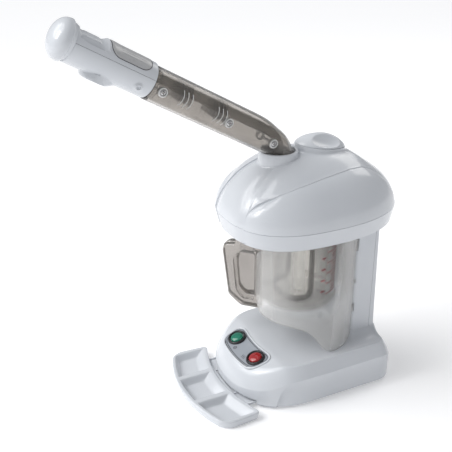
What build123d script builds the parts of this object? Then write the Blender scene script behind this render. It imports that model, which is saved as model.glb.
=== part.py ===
"""Table-top facial steamer: base, column and domed head, glass water jar, swivelling steam arm.

Millimetres. +Z is up, the user sits on the -Y side, and X = 0 is the plane of symmetry. The origin
is on the table, below the jar's axis.
"""

import os
from math import copysign, cos, pi, radians, sin

from build123d import *

os.makedirs("parts", exist_ok=True)

# ---------------------------------------------------------------- driving dimensions
WALL = 2.5
RUNNING = 0.3

BASE_HALF_WIDTH = 76.0
BASE_FRONT = -98.0
BASE_REAR = 92.0
BASE_CORNER = 20.0
BASE_BOTTOM = 3.0
BASE_TOP = 50.5
SHOULDER_Z = 37.0
SHOULDER_IN = 9.0
NOSE_START = -20.0
NOSE_POWER = 2.3
SLOPE_START = -51.7
SLOPE_TILT = 18.0

SWITCH_SPACING = 47.0
SWITCH_Y = -68.6
BEZEL_RADIUS = 11.5
BARREL_RADIUS = 10.0
ROCKER_RADIUS = 7.4
ROCKER_HEIGHT = 3.2
BEZEL_PROUD = 2.6
BEZEL_BORE = 8.8
SWITCH_DEPTH = 16.0

COLUMN_HALF_WIDTH = 40.0
COLUMN_FRONT = 50.0
COLUMN_REAR = 85.0
COLUMN_SPLIT = 76.0
COLUMN_LEAN = 4.5
WIRE_Y = 66.0

RIM_BOTTOM = 199.0
RIM_TOP = 219.0
HEAD_WALL = 3.0
DOME_HEIGHT = 64.7
DOME_POWERS = (1.46, 2.58)
HEAD_POWERS = (2.61, 2.36)
RIM_SIZE = (73.0, 92.0, 105.0)
DOME_SIZE = (77.0, 96.8, 108.0)
DOME_SHIFT = 1.7

JAR_RADIUS = 42.0
JAR_WALL = 3.0
JAR_BOTTOM = 102.0
JAR_TOP = 203.0
HANDLE_BEARING = 45.0
HANDLE_HALF_WIDTH = 10.0

GUARD_RADIUS = 57.8
GUARD_WALL = 2.5
GUARD_Y = 8.25
GUARD_EDGE_X = -24.4

COLLAR_Y = -33.0
COLLAR_RADIUS = 21.5
COLLAR_TOP = 286.5
CAP_Y = 19.0
CAP_HALF_WIDTH = 20.0
CAP_HALF_LENGTH = 30.0
CAP_SEAT = 286.0
CAP_TILT = 8.5
FILLER_Y = 24.0

ARM_ELEVATION = 29.8
ARM_RADIUS = 17.5
ARM_WALL = 2.2
ARM_CORNER_Z = 295.7
ARM_BEND = 19.0
ARM_LENGTH = 166.0
ARM_SCREWS_AT = (16.4, 75.7, 155.5)
SCREW_DROP = -2.5
NOZZLE_RADIUS = 18.0
NOZZLE_END = 252.0
NOZZLE_TIP = 272.2
OUTLET_AT = 217.0

SLOPE = Plane(
    origin=(0, SLOPE_START, BASE_TOP),
    x_dir=(1, 0, 0),
    z_dir=(0, -sin(radians(SLOPE_TILT)), cos(radians(SLOPE_TILT))),
)
SEAT = Plane(
    origin=(0, CAP_Y, CAP_SEAT),
    x_dir=(1, 0, 0),
    z_dir=(0, sin(radians(CAP_TILT)), cos(radians(CAP_TILT))),
)
ARM = Plane(
    origin=(0, COLLAR_Y, ARM_CORNER_Z),
    x_dir=(1, 0, 0),
    z_dir=(0, -cos(radians(ARM_ELEVATION)), sin(radians(ARM_ELEVATION))),
)
SWITCH_V = (SWITCH_Y - SLOPE_START) / cos(radians(SLOPE_TILT))


# ---------------------------------------------------------------- shared shapes
def power_oval(half_width, front, rear, powers, steps=32):
    """Points of a super-ellipse whose front and rear halves have their own reach and power."""
    points = []
    for step in range(steps):
        angle = 2 * pi * step / steps
        across, along = cos(angle), sin(angle)
        power = powers[1] if along > 0 else powers[0]
        reach = rear if along > 0 else front
        x = copysign(abs(across) ** (2 / power), across) * half_width
        y = copysign(abs(along) ** (2 / power), along) * reach
        points.append((x, y))
    return points


def oval_face(height, half_width, front, rear, shift=0.0):
    with BuildSketch(Plane.XY.offset(height)) as face:
        with BuildLine():
            outline = power_oval(half_width, front, rear, HEAD_POWERS)
            Spline(*[(x, y + shift) for x, y in outline], periodic=True)
        make_face()
    return face.sketch


def rim_body(inset, bottom):
    """The band between the rim and the dome, moved in by a wall."""
    share = (bottom - RIM_BOTTOM) / (RIM_TOP - RIM_BOTTOM)
    low = [a + (b - a) * share - inset for a, b in zip(RIM_SIZE, DOME_SIZE)]
    high = [b - inset for b in DOME_SIZE]
    return loft([oval_face(bottom, *low), oval_face(RIM_TOP, *high)])


def dome_body(inset):
    """Stacked ovals that close in towards the crown."""
    faces = []
    for share in (0.0, 0.16, 0.32, 0.48, 0.62, 0.74, 0.84, 0.91, 0.955):
        scale = (1 - share ** DOME_POWERS[0]) ** (1 / DOME_POWERS[1])
        size = [reach * scale - inset for reach in DOME_SIZE]
        height = RIM_TOP + share * DOME_HEIGHT - inset * share
        faces.append(oval_face(height, *size, shift=DOME_SHIFT * (1 - scale)))
    return loft(faces)


def tombstone(inset):
    """Base plan: square back with rounded corners and an oval nose."""
    half = BASE_HALF_WIDTH - inset
    rear = BASE_REAR - inset
    corner = BASE_CORNER - inset
    nose = []
    for step in range(13):
        angle = pi * step / 12
        x = -copysign(abs(cos(angle)) ** (2 / NOSE_POWER), cos(angle)) * half
        y = NOSE_START - sin(angle) ** (2 / NOSE_POWER) * (NOSE_START - BASE_FRONT - inset)
        nose.append((x, y))
    with BuildSketch() as plan:
        with BuildLine():
            Spline(*nose, tangents=((0, -1), (0, 1)))
            Line((half, NOSE_START), (half, rear - corner))
            RadiusArc((half, rear - corner), (half - corner, rear), -corner)
            Line((half - corner, rear), (corner - half, rear))
            RadiusArc((corner - half, rear), (-half, rear - corner), -corner)
            Line((-half, rear - corner), (-half, NOSE_START))
        make_face()
    return plan.sketch


def base_body(inset):
    """Solid base: upright walls, a shoulder that leans in above them, and a sloping front."""
    with BuildPart() as body:
        with BuildSketch(Plane.XY.offset(BASE_BOTTOM)):
            add(tombstone(inset))
        extrude(amount=SHOULDER_Z - BASE_BOTTOM)
        shoulder_foot = Pos(0, 0, SHOULDER_Z) * tombstone(inset)
        shoulder_top = Pos(0, 0, BASE_TOP - inset) * tombstone(inset + SHOULDER_IN)
        loft([shoulder_foot, shoulder_top])
        with BuildSketch(SLOPE.offset(-inset)):
            with Locations((0, -40)):
                Rectangle(4 * BASE_HALF_WIDTH, 80)
        extrude(amount=40, mode=Mode.SUBTRACT)
    return body.part


def ring(plane, outer, inner, height):
    with BuildPart() as body:
        with BuildSketch(plane):
            Circle(outer)
            Circle(inner, mode=Mode.SUBTRACT)
        extrude(amount=height)
    return body.part


def rod(plane, radius, length):
    with BuildPart() as body:
        with BuildSketch(plane):
            Circle(radius)
        extrude(amount=length)
    return body.part


def screw(plane, length, head=3.0, shank=1.5):
    """Pan-head screw, its head on the plane and its shank against the plane's normal."""
    with BuildPart() as body:
        with BuildSketch(plane):
            Circle(head)
        extrude(amount=1.9)
        fillet(body.edges().group_by(Axis(plane.origin, plane.z_dir))[-1], 0.9)
        with BuildSketch(plane):
            Circle(shank)
        extrude(amount=-length)
        with BuildSketch(plane.offset(1.9)):
            Rectangle(0.8, 3.4)
            Rectangle(3.4, 0.8)
        extrude(amount=-1.0, mode=Mode.SUBTRACT)
    return body.part


def save(part, name):
    part.label = name
    export_step(part, f"parts/{name}.step")


# ---------------------------------------------------------------- base
PANEL_FRONT_HALF = 34.0
PANEL_REAR_HALF = 38.0
PANEL_AHEAD = 12.0
PANEL_BEHIND = 15.4
PANEL_BOW = 5.0
PANEL_CORNER = 6.0
PANEL_SUNK = 1.0
PANEL_PROUD = 0.3
SWITCH_SPOTS = [(-SWITCH_SPACING / 2, SWITCH_V), (SWITCH_SPACING / 2, SWITCH_V)]
BARREL_HOLE = BARREL_RADIUS + 0.2
FOOT_SPOTS = [(x, y) for x in (-52, 52) for y in (-42, 70)]
BASE_SCREW_SPOTS = [(x, y) for x in (-60, 60) for y in (-30, 55)]
TRAY_SLOT_HALF = 51.5
PLATE_TOP = 5.5


def panel_outline(grow):
    """Crescent on the slope: bowed towards the user, hollow towards the jar."""
    front, rear = SWITCH_V - PANEL_AHEAD - grow, SWITCH_V + PANEL_BEHIND + grow
    narrow, wide = PANEL_FRONT_HALF + grow, PANEL_REAR_HALF + grow
    with BuildSketch() as outline:
        with BuildLine():
            ThreePointArc((-narrow, front), (0, front - PANEL_BOW), (narrow, front))
            Line((narrow, front), (wide, rear))
            ThreePointArc((wide, rear), (0, rear - PANEL_BOW), (-wide, rear))
            Line((-wide, rear), (-narrow, front))
        make_face()
        fillet(outline.vertices(), PANEL_CORNER + grow)
    return outline.sketch


with BuildPart() as base_shell:
    add(base_body(0))
    add(base_body(WALL), mode=Mode.SUBTRACT)
    with BuildSketch(Plane.XY.offset(PLATE_TOP)):
        with Locations(*BASE_SCREW_SPOTS):
            Circle(4.5)
    extrude(amount=BASE_TOP - WALL - PLATE_TOP + 0.5)
    with BuildSketch(SLOPE.offset(-PANEL_SUNK)):
        add(panel_outline(RUNNING))
    extrude(amount=4, mode=Mode.SUBTRACT)
    with BuildSketch(SLOPE.offset(-12)):
        with Locations(*SWITCH_SPOTS):
            Circle(BARREL_HOLE)
    extrude(amount=14, mode=Mode.SUBTRACT)
    with BuildSketch(Plane.XY.offset(BASE_BOTTOM)):
        with Locations((0, -80)):
            Rectangle(2 * TRAY_SLOT_HALF, 50)
    extrude(amount=5.2, mode=Mode.SUBTRACT)
    with BuildSketch(Plane.XY.offset(PLATE_TOP - 1)):
        with Locations(*BASE_SCREW_SPOTS):
            Circle(1.5)
    extrude(amount=16, mode=Mode.SUBTRACT)
    with BuildSketch(Plane.XY.offset(BASE_TOP - 6)):
        with Locations((0, WIRE_Y)):
            Circle(12)
    extrude(amount=12, mode=Mode.SUBTRACT)
    with BuildSketch(Plane.XZ.offset(-BASE_REAR - 2)):
        with Locations((0, 20)):
            Circle(6)
    extrude(amount=8, mode=Mode.SUBTRACT)
save(base_shell.part, "base_shell")

with BuildPart() as base_plate:
    with BuildSketch(Plane.XY.offset(BASE_BOTTOM)):
        add(tombstone(WALL + 0.2))
        with Locations((0, -80)):
            Rectangle(2 * TRAY_SLOT_HALF + 7, 60, mode=Mode.SUBTRACT)
        with Locations(*BASE_SCREW_SPOTS):
            Circle(3.3, mode=Mode.SUBTRACT)
    extrude(amount=PLATE_TOP - BASE_BOTTOM)
    with BuildSketch(Plane.XY.offset(PLATE_TOP)):
        with Locations(*BASE_SCREW_SPOTS):
            Circle(4.5)
            Circle(1.6, mode=Mode.SUBTRACT)
    extrude(amount=-0.5)
save(base_plate.part, "base_plate")

with BuildPart() as rubber_feet:
    with BuildSketch():
        with Locations(*FOOT_SPOTS):
            Circle(8)
    extrude(amount=BASE_BOTTOM)
    fillet(rubber_feet.edges().group_by(Axis.Z)[0], 0.8)
save(rubber_feet.part, "rubber_feet")

base_screws = Compound(
    children=[
        screw(Plane(origin=(x, y, PLATE_TOP - 0.5), z_dir=(0, 0, -1)), 13) for x, y in BASE_SCREW_SPOTS
    ]
)
save(base_screws, "base_screws")

GUIDE_Y = -56.0
with BuildPart() as tray_guides:
    with BuildSketch(Plane.XY.offset(PLATE_TOP)):
        with Locations((-55.5, GUIDE_Y), (55.5, GUIDE_Y)):
            Rectangle(9, 20)
    extrude(amount=3.1)
    with BuildSketch(Plane.XY.offset(PLATE_TOP + 3.1)):
        with Locations((0, GUIDE_Y)):
            Rectangle(120, 20)
    extrude(amount=1.5)
save(tray_guides.part, "tray_guides")

with BuildPart() as control_board:
    with BuildSketch(Plane.XY.offset(14)):
        with Locations((-20, 5)):
            RectangleRounded(60, 70, 3)
    extrude(amount=1.6)
    with BuildSketch(Plane.XY.offset(15.6)):
        with Locations((-38, 20), (-38, -8)):
            Rectangle(14, 18)
        with Locations((-12, -15)):
            Circle(6)
    extrude(amount=12)
    with BuildSketch(Plane.XY.offset(PLATE_TOP)):
        with GridLocations(50, 60, 2, 2):
            with Locations((-20, 5)):
                Circle(3)
    extrude(amount=14 - PLATE_TOP)
save(control_board.part, "control_board")

with BuildPart() as transformer:
    with BuildSketch(Plane.XY.offset(PLATE_TOP)):
        with Locations((38, 20)):
            RectangleRounded(34, 44, 2)
    extrude(amount=26)
    with BuildSketch(Plane.XY.offset(PLATE_TOP + 4)):
        with Locations((38, 20)):
            RectangleRounded(26, 54, 6)
    extrude(amount=18)
save(transformer.part, "transformer")

with BuildPart() as mains_gland:
    with BuildSketch(Plane.XZ.offset(-BASE_REAR - 3)):
        with Locations((0, 20)):
            Circle(8)
            Circle(3.4, mode=Mode.SUBTRACT)
    extrude(amount=3)
    with BuildSketch(Plane.XZ.offset(-BASE_REAR)):
        with Locations((0, 20)):
            Circle(6)
            Circle(3.4, mode=Mode.SUBTRACT)
    extrude(amount=9)
save(mains_gland.part, "mains_gland")

# ---------------------------------------------------------------- control panel and switches
with BuildPart() as control_panel:
    with BuildSketch(SLOPE.offset(-PANEL_SUNK)):
        add(panel_outline(0))
        with Locations(*SWITCH_SPOTS):
            Circle(BARREL_HOLE, mode=Mode.SUBTRACT)
    extrude(amount=PANEL_SUNK + PANEL_PROUD)
save(control_panel.part, "control_panel")


def switch_plane(side):
    """The panel's face at a switch's centre."""
    centre = SLOPE.from_local_coords((side * SWITCH_SPACING / 2, SWITCH_V, PANEL_PROUD))
    return Plane(origin=centre, x_dir=SLOPE.x_dir, z_dir=SLOPE.z_dir)


def switch_bezel(side):
    """Round snap-in body: tapered flange on the panel and a barrel behind it."""
    face = switch_plane(side)
    with BuildPart() as body:
        with BuildSketch(face):
            Circle(BEZEL_RADIUS)
        extrude(amount=BEZEL_PROUD, taper=12)
        with BuildSketch(face):
            Circle(BARREL_RADIUS)
        extrude(amount=-SWITCH_DEPTH)
        with BuildSketch(face.offset(BEZEL_PROUD)):
            Circle(BEZEL_BORE)
        extrude(amount=-12, mode=Mode.SUBTRACT)
        with BuildSketch(face.offset(-SWITCH_DEPTH)):
            with Locations((-4, 0), (4, 0)):
                Rectangle(0.8, 5)
        extrude(amount=-7)
    return body.part


def switch_rocker(side):
    """Round lens cap, slightly domed, tilting about a cross axis inside the barrel."""
    face = switch_plane(side)
    with BuildPart() as body:
        with BuildSketch(face.offset(-4.5)):
            Circle(ROCKER_RADIUS)
        extrude(amount=4.5 + ROCKER_HEIGHT)
        fillet(body.edges().group_by(Axis(face.origin, face.z_dir))[-1], 1.6)
    return body.part


for name, side in (("ozone", -1), ("steam", 1)):
    save(switch_bezel(side), f"{name}_switch_bezel")
    save(switch_rocker(side), f"{name}_rocker")

# ---------------------------------------------------------------- accessory tray
TRAY_TOP = 10.0
TRAY_FLOOR = 0.8
TRAY_BACK_HALF = 73.0
TRAY_FRONT_HALF = 76.0
TRAY_BACK = (-86.0, -102.5)
TRAY_FRONT = (-132.0, -151.0)
TRAY_WALL = 3.0
POCKET_PITCH = 49.5
POCKET_WIDTH = 45.5
POCKET_DRAFT = 24.0
TONGUE_BOTTOM = 4.2
TONGUE_THICK = 1.2
TONGUE_HALF = 50.0
RIB_HEIGHT = 2.6
RIB_WIDTH = 2.0


def tray_outline(inset):
    """Sector between two bows, its corners rounded."""
    with BuildSketch() as outline:
        with BuildLine():
            back_half, front_half = TRAY_BACK_HALF - inset, TRAY_FRONT_HALF - inset
            back_end, back_middle = [y - inset for y in TRAY_BACK]
            front_end, front_middle = [y + inset for y in TRAY_FRONT]
            inner = ThreePointArc((-back_half, back_end), (0, back_middle), (back_half, back_end))
            outer = ThreePointArc((-front_half, front_end), (0, front_middle), (front_half, front_end))
            Line(inner @ 0, outer @ 0)
            Line(inner @ 1, outer @ 1)
        make_face()
        fillet(outline.vertices().group_by(Axis.Y)[-1], 7 - inset)
        fillet(outline.vertices().group_by(Axis.Y)[0], 12 - inset)
    return outline.sketch


with BuildPart() as accessory_tray:
    with BuildSketch(Plane.XY.offset(TRAY_FLOOR)):
        add(tray_outline(1.2))
    with BuildSketch(Plane.XY.offset(TRAY_TOP)):
        add(tray_outline(0))
    loft()
    for index in (-1, 0, 1):
        with BuildSketch(Plane.XY.offset(TRAY_TOP)):
            add(tray_outline(TRAY_WALL))
            with Locations((index * POCKET_PITCH, -118)):
                Rectangle(POCKET_WIDTH, 70, mode=Mode.INTERSECT)
        extrude(amount=TRAY_FLOOR + 1.6 - TRAY_TOP, taper=POCKET_DRAFT, mode=Mode.SUBTRACT)
    with BuildSketch(Plane.XY.offset(TONGUE_BOTTOM)):
        with Locations((0, -80)):
            Rectangle(2 * TONGUE_HALF, 44)
        add(tray_outline(-RUNNING), mode=Mode.SUBTRACT)
    extrude(amount=TONGUE_THICK)
    with BuildSketch(Plane.XY.offset(TONGUE_BOTTOM)):
        for x in (-49, -25, 0, 25, 49):
            with Locations((x, -80)):
                Rectangle(RIB_WIDTH, 44)
        add(tray_outline(-RUNNING), mode=Mode.SUBTRACT)
    extrude(amount=RIB_HEIGHT)
    with BuildSketch(Plane.XY.offset(TONGUE_BOTTOM)):
        with Locations((0, -99)):
            Rectangle(2 * TONGUE_HALF, 8)
        add(tray_outline(TRAY_WALL + 1), mode=Mode.SUBTRACT)
    extrude(amount=TONGUE_THICK)
save(accessory_tray.part, "accessory_tray")

# ---------------------------------------------------------------- column
def column_body(inset):
    """Upright box with rounded corners whose back leans in towards the head."""
    faces = []
    for height, lean in ((BASE_TOP, 0.0), (RIM_BOTTOM, COLUMN_LEAN)):
        depth = COLUMN_REAR - lean - COLUMN_FRONT - 2 * inset
        with BuildSketch(Plane.XY.offset(height)) as face:
            with Locations((0, COLUMN_FRONT + inset + depth / 2)):
                RectangleRounded(2 * (COLUMN_HALF_WIDTH - inset), depth, 6 - inset)
        faces.append(face.sketch)
    return loft(faces)


POST_SPOTS = [(x, z) for x in (-28, 28) for z in (68, 182)]
COVER_DEPTH = 3.0


def rear_at(height):
    share = (height - BASE_TOP) / (RIM_BOTTOM - BASE_TOP)
    return COLUMN_REAR - COLUMN_LEAN * share


with BuildPart() as column_shell:
    add(column_body(0))
    add(column_body(WALL), mode=Mode.SUBTRACT)
    with BuildSketch(Plane.XZ.offset(-COLUMN_FRONT - 1)):
        with Locations(*POST_SPOTS):
            Circle(4)
    extrude(amount=COLUMN_FRONT + 1 - COLUMN_SPLIT)
    with BuildSketch(Plane.XZ.offset(-COLUMN_SPLIT)):
        with Locations(*POST_SPOTS):
            Circle(1.5)
    extrude(amount=16, mode=Mode.SUBTRACT)
    split(bisect_by=Plane.XZ.offset(-COLUMN_SPLIT), keep=Keep.TOP)
save(column_shell.part, "column_shell")

with BuildPart() as column_cover:
    add(column_body(0))
    add(column_body(WALL), mode=Mode.SUBTRACT)
    split(bisect_by=Plane.XZ.offset(-COLUMN_SPLIT), keep=Keep.BOTTOM)
    for x, z in POST_SPOTS:
        with BuildSketch(Plane.XZ.offset(-COLUMN_SPLIT)):
            with Locations((x, z)):
                Circle(5.2)
        extrude(amount=COLUMN_SPLIT - rear_at(z) + 1)
        with BuildSketch(Plane.XZ.offset(-COLUMN_SPLIT)):
            with Locations((x, z)):
                Circle(1.6)
        extrude(amount=-20, mode=Mode.SUBTRACT)
        with BuildSketch(Plane.XZ.offset(-rear_at(z) + COVER_DEPTH)):
            with Locations((x, z)):
                Circle(3.4)
        extrude(amount=-10, mode=Mode.SUBTRACT)
save(column_cover.part, "column_cover")

column_screws = Compound(
    children=[
        screw(Plane(origin=(x, rear_at(z) - COVER_DEPTH, z), z_dir=(0, 1, 0)), rear_at(z) - COVER_DEPTH - 64)
        for x, z in POST_SPOTS
    ]
)
save(column_screws, "column_screws")

with BuildPart() as wiring_loom:
    with BuildLine() as route:
        FilletPolyline((-10, 40, 22), (0, WIRE_Y, 24), (0, WIRE_Y, 202), (-16, 58, 218), radius=9)
    with BuildSketch(Plane(origin=route.line @ 0, z_dir=route.line % 0)):
        Circle(3)
    sweep()
save(wiring_loom.part, "wiring_loom")

# ---------------------------------------------------------------- splash guard
FREE_EDGE_FOOT = 87.5
GUARD_TOP = 193.0
GUARD_FOOT = BASE_TOP + 0.2

with BuildPart() as splash_guard:
    with BuildSketch(Plane.XY.offset(BASE_TOP)):
        with Locations((0, GUARD_Y)):
            Circle(GUARD_RADIUS)
            Circle(GUARD_RADIUS - GUARD_WALL, mode=Mode.SUBTRACT)
        with Locations((GUARD_EDGE_X + 60, COLUMN_FRONT - 80)):
            Rectangle(120, 160, mode=Mode.INTERSECT)
    extrude(amount=GUARD_TOP - BASE_TOP)
    with BuildSketch(Plane.YZ):
        with BuildLine():
            Line((-60, FREE_EDGE_FOOT), (-30, FREE_EDGE_FOOT))
            Bezier((-30, FREE_EDGE_FOOT), (-8, FREE_EDGE_FOOT), (-8, GUARD_FOOT), (12, GUARD_FOOT))
            Line((12, GUARD_FOOT), (34, GUARD_FOOT))
            Bezier((34, GUARD_FOOT), (42, GUARD_FOOT), (46, BASE_TOP + 3), (51, BASE_TOP + 9))
            Polyline((51, BASE_TOP + 9), (51, BASE_TOP - 5), (-60, BASE_TOP - 5), (-60, FREE_EDGE_FOOT))
        make_face()
    extrude(amount=80, both=True, mode=Mode.SUBTRACT)
    with BuildSketch(Plane.XZ):
        with BuildLine():
            Bezier((GUARD_EDGE_X - 1, 143), (GUARD_EDGE_X + 4, 160), (0, 180), (36, GUARD_TOP + 1))
            Polyline((36, GUARD_TOP + 1), (GUARD_EDGE_X - 1, GUARD_TOP + 1), (GUARD_EDGE_X - 1, 143))
        make_face()
    extrude(amount=80, mode=Mode.SUBTRACT)
save(splash_guard.part, "splash_guard")

with BuildPart() as guard_peg:
    with BuildSketch(Plane.XY.offset(BASE_TOP)):
        with Locations((-12, 40)):
            Circle(3)
    extrude(amount=8)
    fillet(guard_peg.edges().group_by(Axis.Z)[-1], 1.2)
save(guard_peg.part, "guard_peg")

# ---------------------------------------------------------------- head
HEAD_SCREW_SPOTS = [(-52, -46), (52, -46), (-48, 62), (48, 62)]
SOCKET_RADIUS = 56.0
CAVITY_FLOOR = RIM_BOTTOM + HEAD_WALL
COLLAR_FOOT = 262.0
PEDESTAL_DEPTH = 14.0
PEDESTAL_LIP = 1.0
FILLER_MOUTH = 15.0

with BuildPart() as head_lower_shell:
    add(rim_body(0, RIM_BOTTOM))
    add(rim_body(HEAD_WALL, CAVITY_FLOOR), mode=Mode.SUBTRACT)
    with BuildSketch(Plane.XY.offset(RIM_BOTTOM)):
        Circle(SOCKET_RADIUS)
        with Locations((0, WIRE_Y)):
            Circle(8)
        with Locations(*HEAD_SCREW_SPOTS):
            Circle(1.6)
    extrude(amount=HEAD_WALL, mode=Mode.SUBTRACT)
    with BuildSketch(Plane.XY.offset(RIM_BOTTOM)):
        with Locations(*HEAD_SCREW_SPOTS):
            Circle(3.4)
    extrude(amount=1.9, mode=Mode.SUBTRACT)
save(head_lower_shell.part, "head_lower_shell")

inner_dome = dome_body(HEAD_WALL)
with BuildPart() as head_bosses:
    with BuildSketch(Plane.XY.offset(RIM_TOP)):
        with Locations(*HEAD_SCREW_SPOTS):
            Circle(4.5)
    extrude(amount=60)
    add(inner_dome, mode=Mode.INTERSECT)
    with BuildSketch(Plane.XY.offset(CAVITY_FLOOR + 0.2)):
        with Locations(*HEAD_SCREW_SPOTS):
            Circle(4.5)
    extrude(amount=RIM_TOP - CAVITY_FLOOR)
    with BuildSketch(Plane.XY.offset(CAVITY_FLOOR)):
        with Locations(*HEAD_SCREW_SPOTS):
            Circle(1.5)
    extrude(amount=16, mode=Mode.SUBTRACT)

with BuildPart() as head_upper_shell:
    add(dome_body(0))
    with BuildSketch(SEAT):
        Ellipse(CAP_HALF_WIDTH + PEDESTAL_LIP, CAP_HALF_LENGTH + PEDESTAL_LIP)
    extrude(amount=-PEDESTAL_DEPTH)
    add(inner_dome, mode=Mode.SUBTRACT)
    with BuildSketch(Plane.XY.offset(COLLAR_FOOT - 20)):
        with Locations((0, COLLAR_Y)):
            Circle(COLLAR_RADIUS + 0.1)
    extrude(amount=60, mode=Mode.SUBTRACT)
    with BuildSketch(Plane.XY.offset(COLLAR_FOOT - 20)):
        with Locations((0, FILLER_Y)):
            Circle(FILLER_MOUTH + 0.2)
    extrude(amount=60, mode=Mode.SUBTRACT)
    add(head_bosses.part)
save(head_upper_shell.part, "head_upper_shell")

head_screws = Compound(
    children=[
        screw(Plane(origin=(x, y, RIM_BOTTOM + 1.9), z_dir=(0, 0, -1)), 14) for x, y in HEAD_SCREW_SPOTS
    ]
)
save(head_screws, "head_screws")

# ---------------------------------------------------------------- boiler: bayonet, lid, heater, ducts
LUG_ANGLES = (0, 120, 240)
LUG_REACH = 48.5
JAR_NECK = 45.5
PROBE_BOTTOM = 111.0
PROBE_RADIUS = 6.2
LID_BOTTOM = 206.5
LID_THICK = 3.0
DUCT_RADIUS = 7.5
FILLER_RADIUS = 11.0
LID_TOP = LID_BOTTOM + LID_THICK
COIL_RADIUS = 26.0
COIL_Z = 113.0
HEATER_ROD = 3.1
FILLER_TOP = 281.0
RETAINER_Z = 253.0
RETAINER_RADIUS = 24.0

with BuildPart() as bayonet_ring:
    with BuildSketch(Plane.XY.offset(RIM_BOTTOM)):
        Circle(SOCKET_RADIUS)
        Circle(JAR_NECK + 0.5, mode=Mode.SUBTRACT)
        for angle in LUG_ANGLES:
            with Locations(Rotation(0, 0, angle - 30)):
                with Locations((LUG_REACH - 3, 0)):
                    Rectangle(9, 18, mode=Mode.SUBTRACT)
    extrude(amount=HEAD_WALL)
    with BuildSketch(Plane.XY.offset(CAVITY_FLOOR)):
        Circle(SOCKET_RADIUS)
        Circle(SOCKET_RADIUS - 3, mode=Mode.SUBTRACT)
    extrude(amount=LID_BOTTOM - CAVITY_FLOOR)
save(bayonet_ring.part, "bayonet_ring")

with BuildPart() as boiler_lid:
    with BuildSketch(Plane.XY.offset(LID_BOTTOM)):
        Circle(SOCKET_RADIUS)
        with Locations((0, COLLAR_Y)):
            Circle(DUCT_RADIUS - 1.5, mode=Mode.SUBTRACT)
        with Locations((0, FILLER_Y)):
            Circle(FILLER_RADIUS - 1.5, mode=Mode.SUBTRACT)
        with Locations((-COIL_RADIUS, 0), (COIL_RADIUS, 0)):
            Circle(HEATER_ROD + 0.1, mode=Mode.SUBTRACT)
        Circle(PROBE_RADIUS, mode=Mode.SUBTRACT)
    extrude(amount=LID_THICK)
save(boiler_lid.part, "boiler_lid")
save(ring(Plane.XY.offset(JAR_TOP + RUNNING), 42.5, 37.0, LID_BOTTOM - JAR_TOP - RUNNING), "jar_seal")

with BuildPart() as probe_tube:
    with BuildSketch(Plane.XY.offset(PROBE_BOTTOM)):
        Circle(PROBE_RADIUS)
    extrude(amount=LID_TOP + 2 - PROBE_BOTTOM)
    with BuildSketch(Plane.XY.offset(LID_TOP)):
        Circle(9)
    extrude(amount=2)
save(probe_tube.part, "probe_tube")

with BuildPart() as heater_element:
    with BuildLine() as heater_path:
        FilletPolyline(
            (-COIL_RADIUS, 0, LID_TOP + 8),
            (-COIL_RADIUS, 0, COIL_Z),
            (-COIL_RADIUS, -COIL_RADIUS, COIL_Z),
            (COIL_RADIUS, -COIL_RADIUS, COIL_Z),
            (COIL_RADIUS, 0, COIL_Z),
            (COIL_RADIUS, 0, LID_TOP + 8),
            radius=[9, 16, 16, 9],
        )
    with BuildSketch(Plane(origin=heater_path.line @ 0, z_dir=heater_path.line % 0)):
        Circle(HEATER_ROD)
    sweep()
save(heater_element.part, "heater_element")

with BuildPart() as heater_terminals:
    for x in (-COIL_RADIUS, COIL_RADIUS):
        with BuildSketch(Plane.XY.offset(LID_TOP)):
            with Locations((x, 0)):
                RegularPolygon(6.5, 6)
                Circle(HEATER_ROD, mode=Mode.SUBTRACT)
        extrude(amount=5)
save(heater_terminals.part, "heater_terminals")

with BuildPart() as thermal_cutout:
    with BuildSketch(Plane.XY.offset(LID_TOP)):
        with Locations((-22, 24)):
            Circle(7)
    extrude(amount=6)
    with BuildSketch(Plane.XY.offset(LID_TOP + 6)):
        with Locations((-25, 24), (-19, 24)):
            Rectangle(0.8, 5)
    extrude(amount=7)
save(thermal_cutout.part, "thermal_cutout")

with BuildPart() as filler_tube:
    with BuildSketch(Plane.YZ):
        with BuildLine():
            Polyline(
                (FILLER_Y + FILLER_RADIUS - 1.5, LID_TOP),
                (FILLER_Y + FILLER_RADIUS, LID_TOP),
                (FILLER_Y + FILLER_RADIUS, 246),
                (FILLER_Y + FILLER_MOUTH, 262),
                (FILLER_Y + FILLER_MOUTH, FILLER_TOP),
                (FILLER_Y + FILLER_MOUTH - 1.5, FILLER_TOP),
                (FILLER_Y + FILLER_MOUTH - 1.5, 262.6),
                (FILLER_Y + FILLER_RADIUS - 1.5, 246.6),
                close=True,
            )
        make_face()
    revolve(axis=Axis((0, FILLER_Y, 0), (0, 0, 1)))
save(filler_tube.part, "filler_tube")

duct_foot = Plane(origin=(0, COLLAR_Y, LID_TOP))
save(ring(duct_foot, DUCT_RADIUS, DUCT_RADIUS - 1.5, RETAINER_Z - LID_TOP), "steam_duct")
with BuildPart() as arm_retainer:
    with BuildSketch(Plane(origin=(0, COLLAR_Y, RETAINER_Z))):
        Circle(RETAINER_RADIUS)
        Circle(DUCT_RADIUS - 1.5, mode=Mode.SUBTRACT)
    extrude(amount=4)
    with BuildSketch(Plane(origin=(0, COLLAR_Y, RETAINER_Z + 4))):
        Circle(RETAINER_RADIUS)
        Circle(RETAINER_RADIUS - 2.6, mode=Mode.SUBTRACT)
    extrude(amount=COLLAR_FOOT - RETAINER_Z - 4)
save(arm_retainer.part, "arm_retainer")

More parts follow.
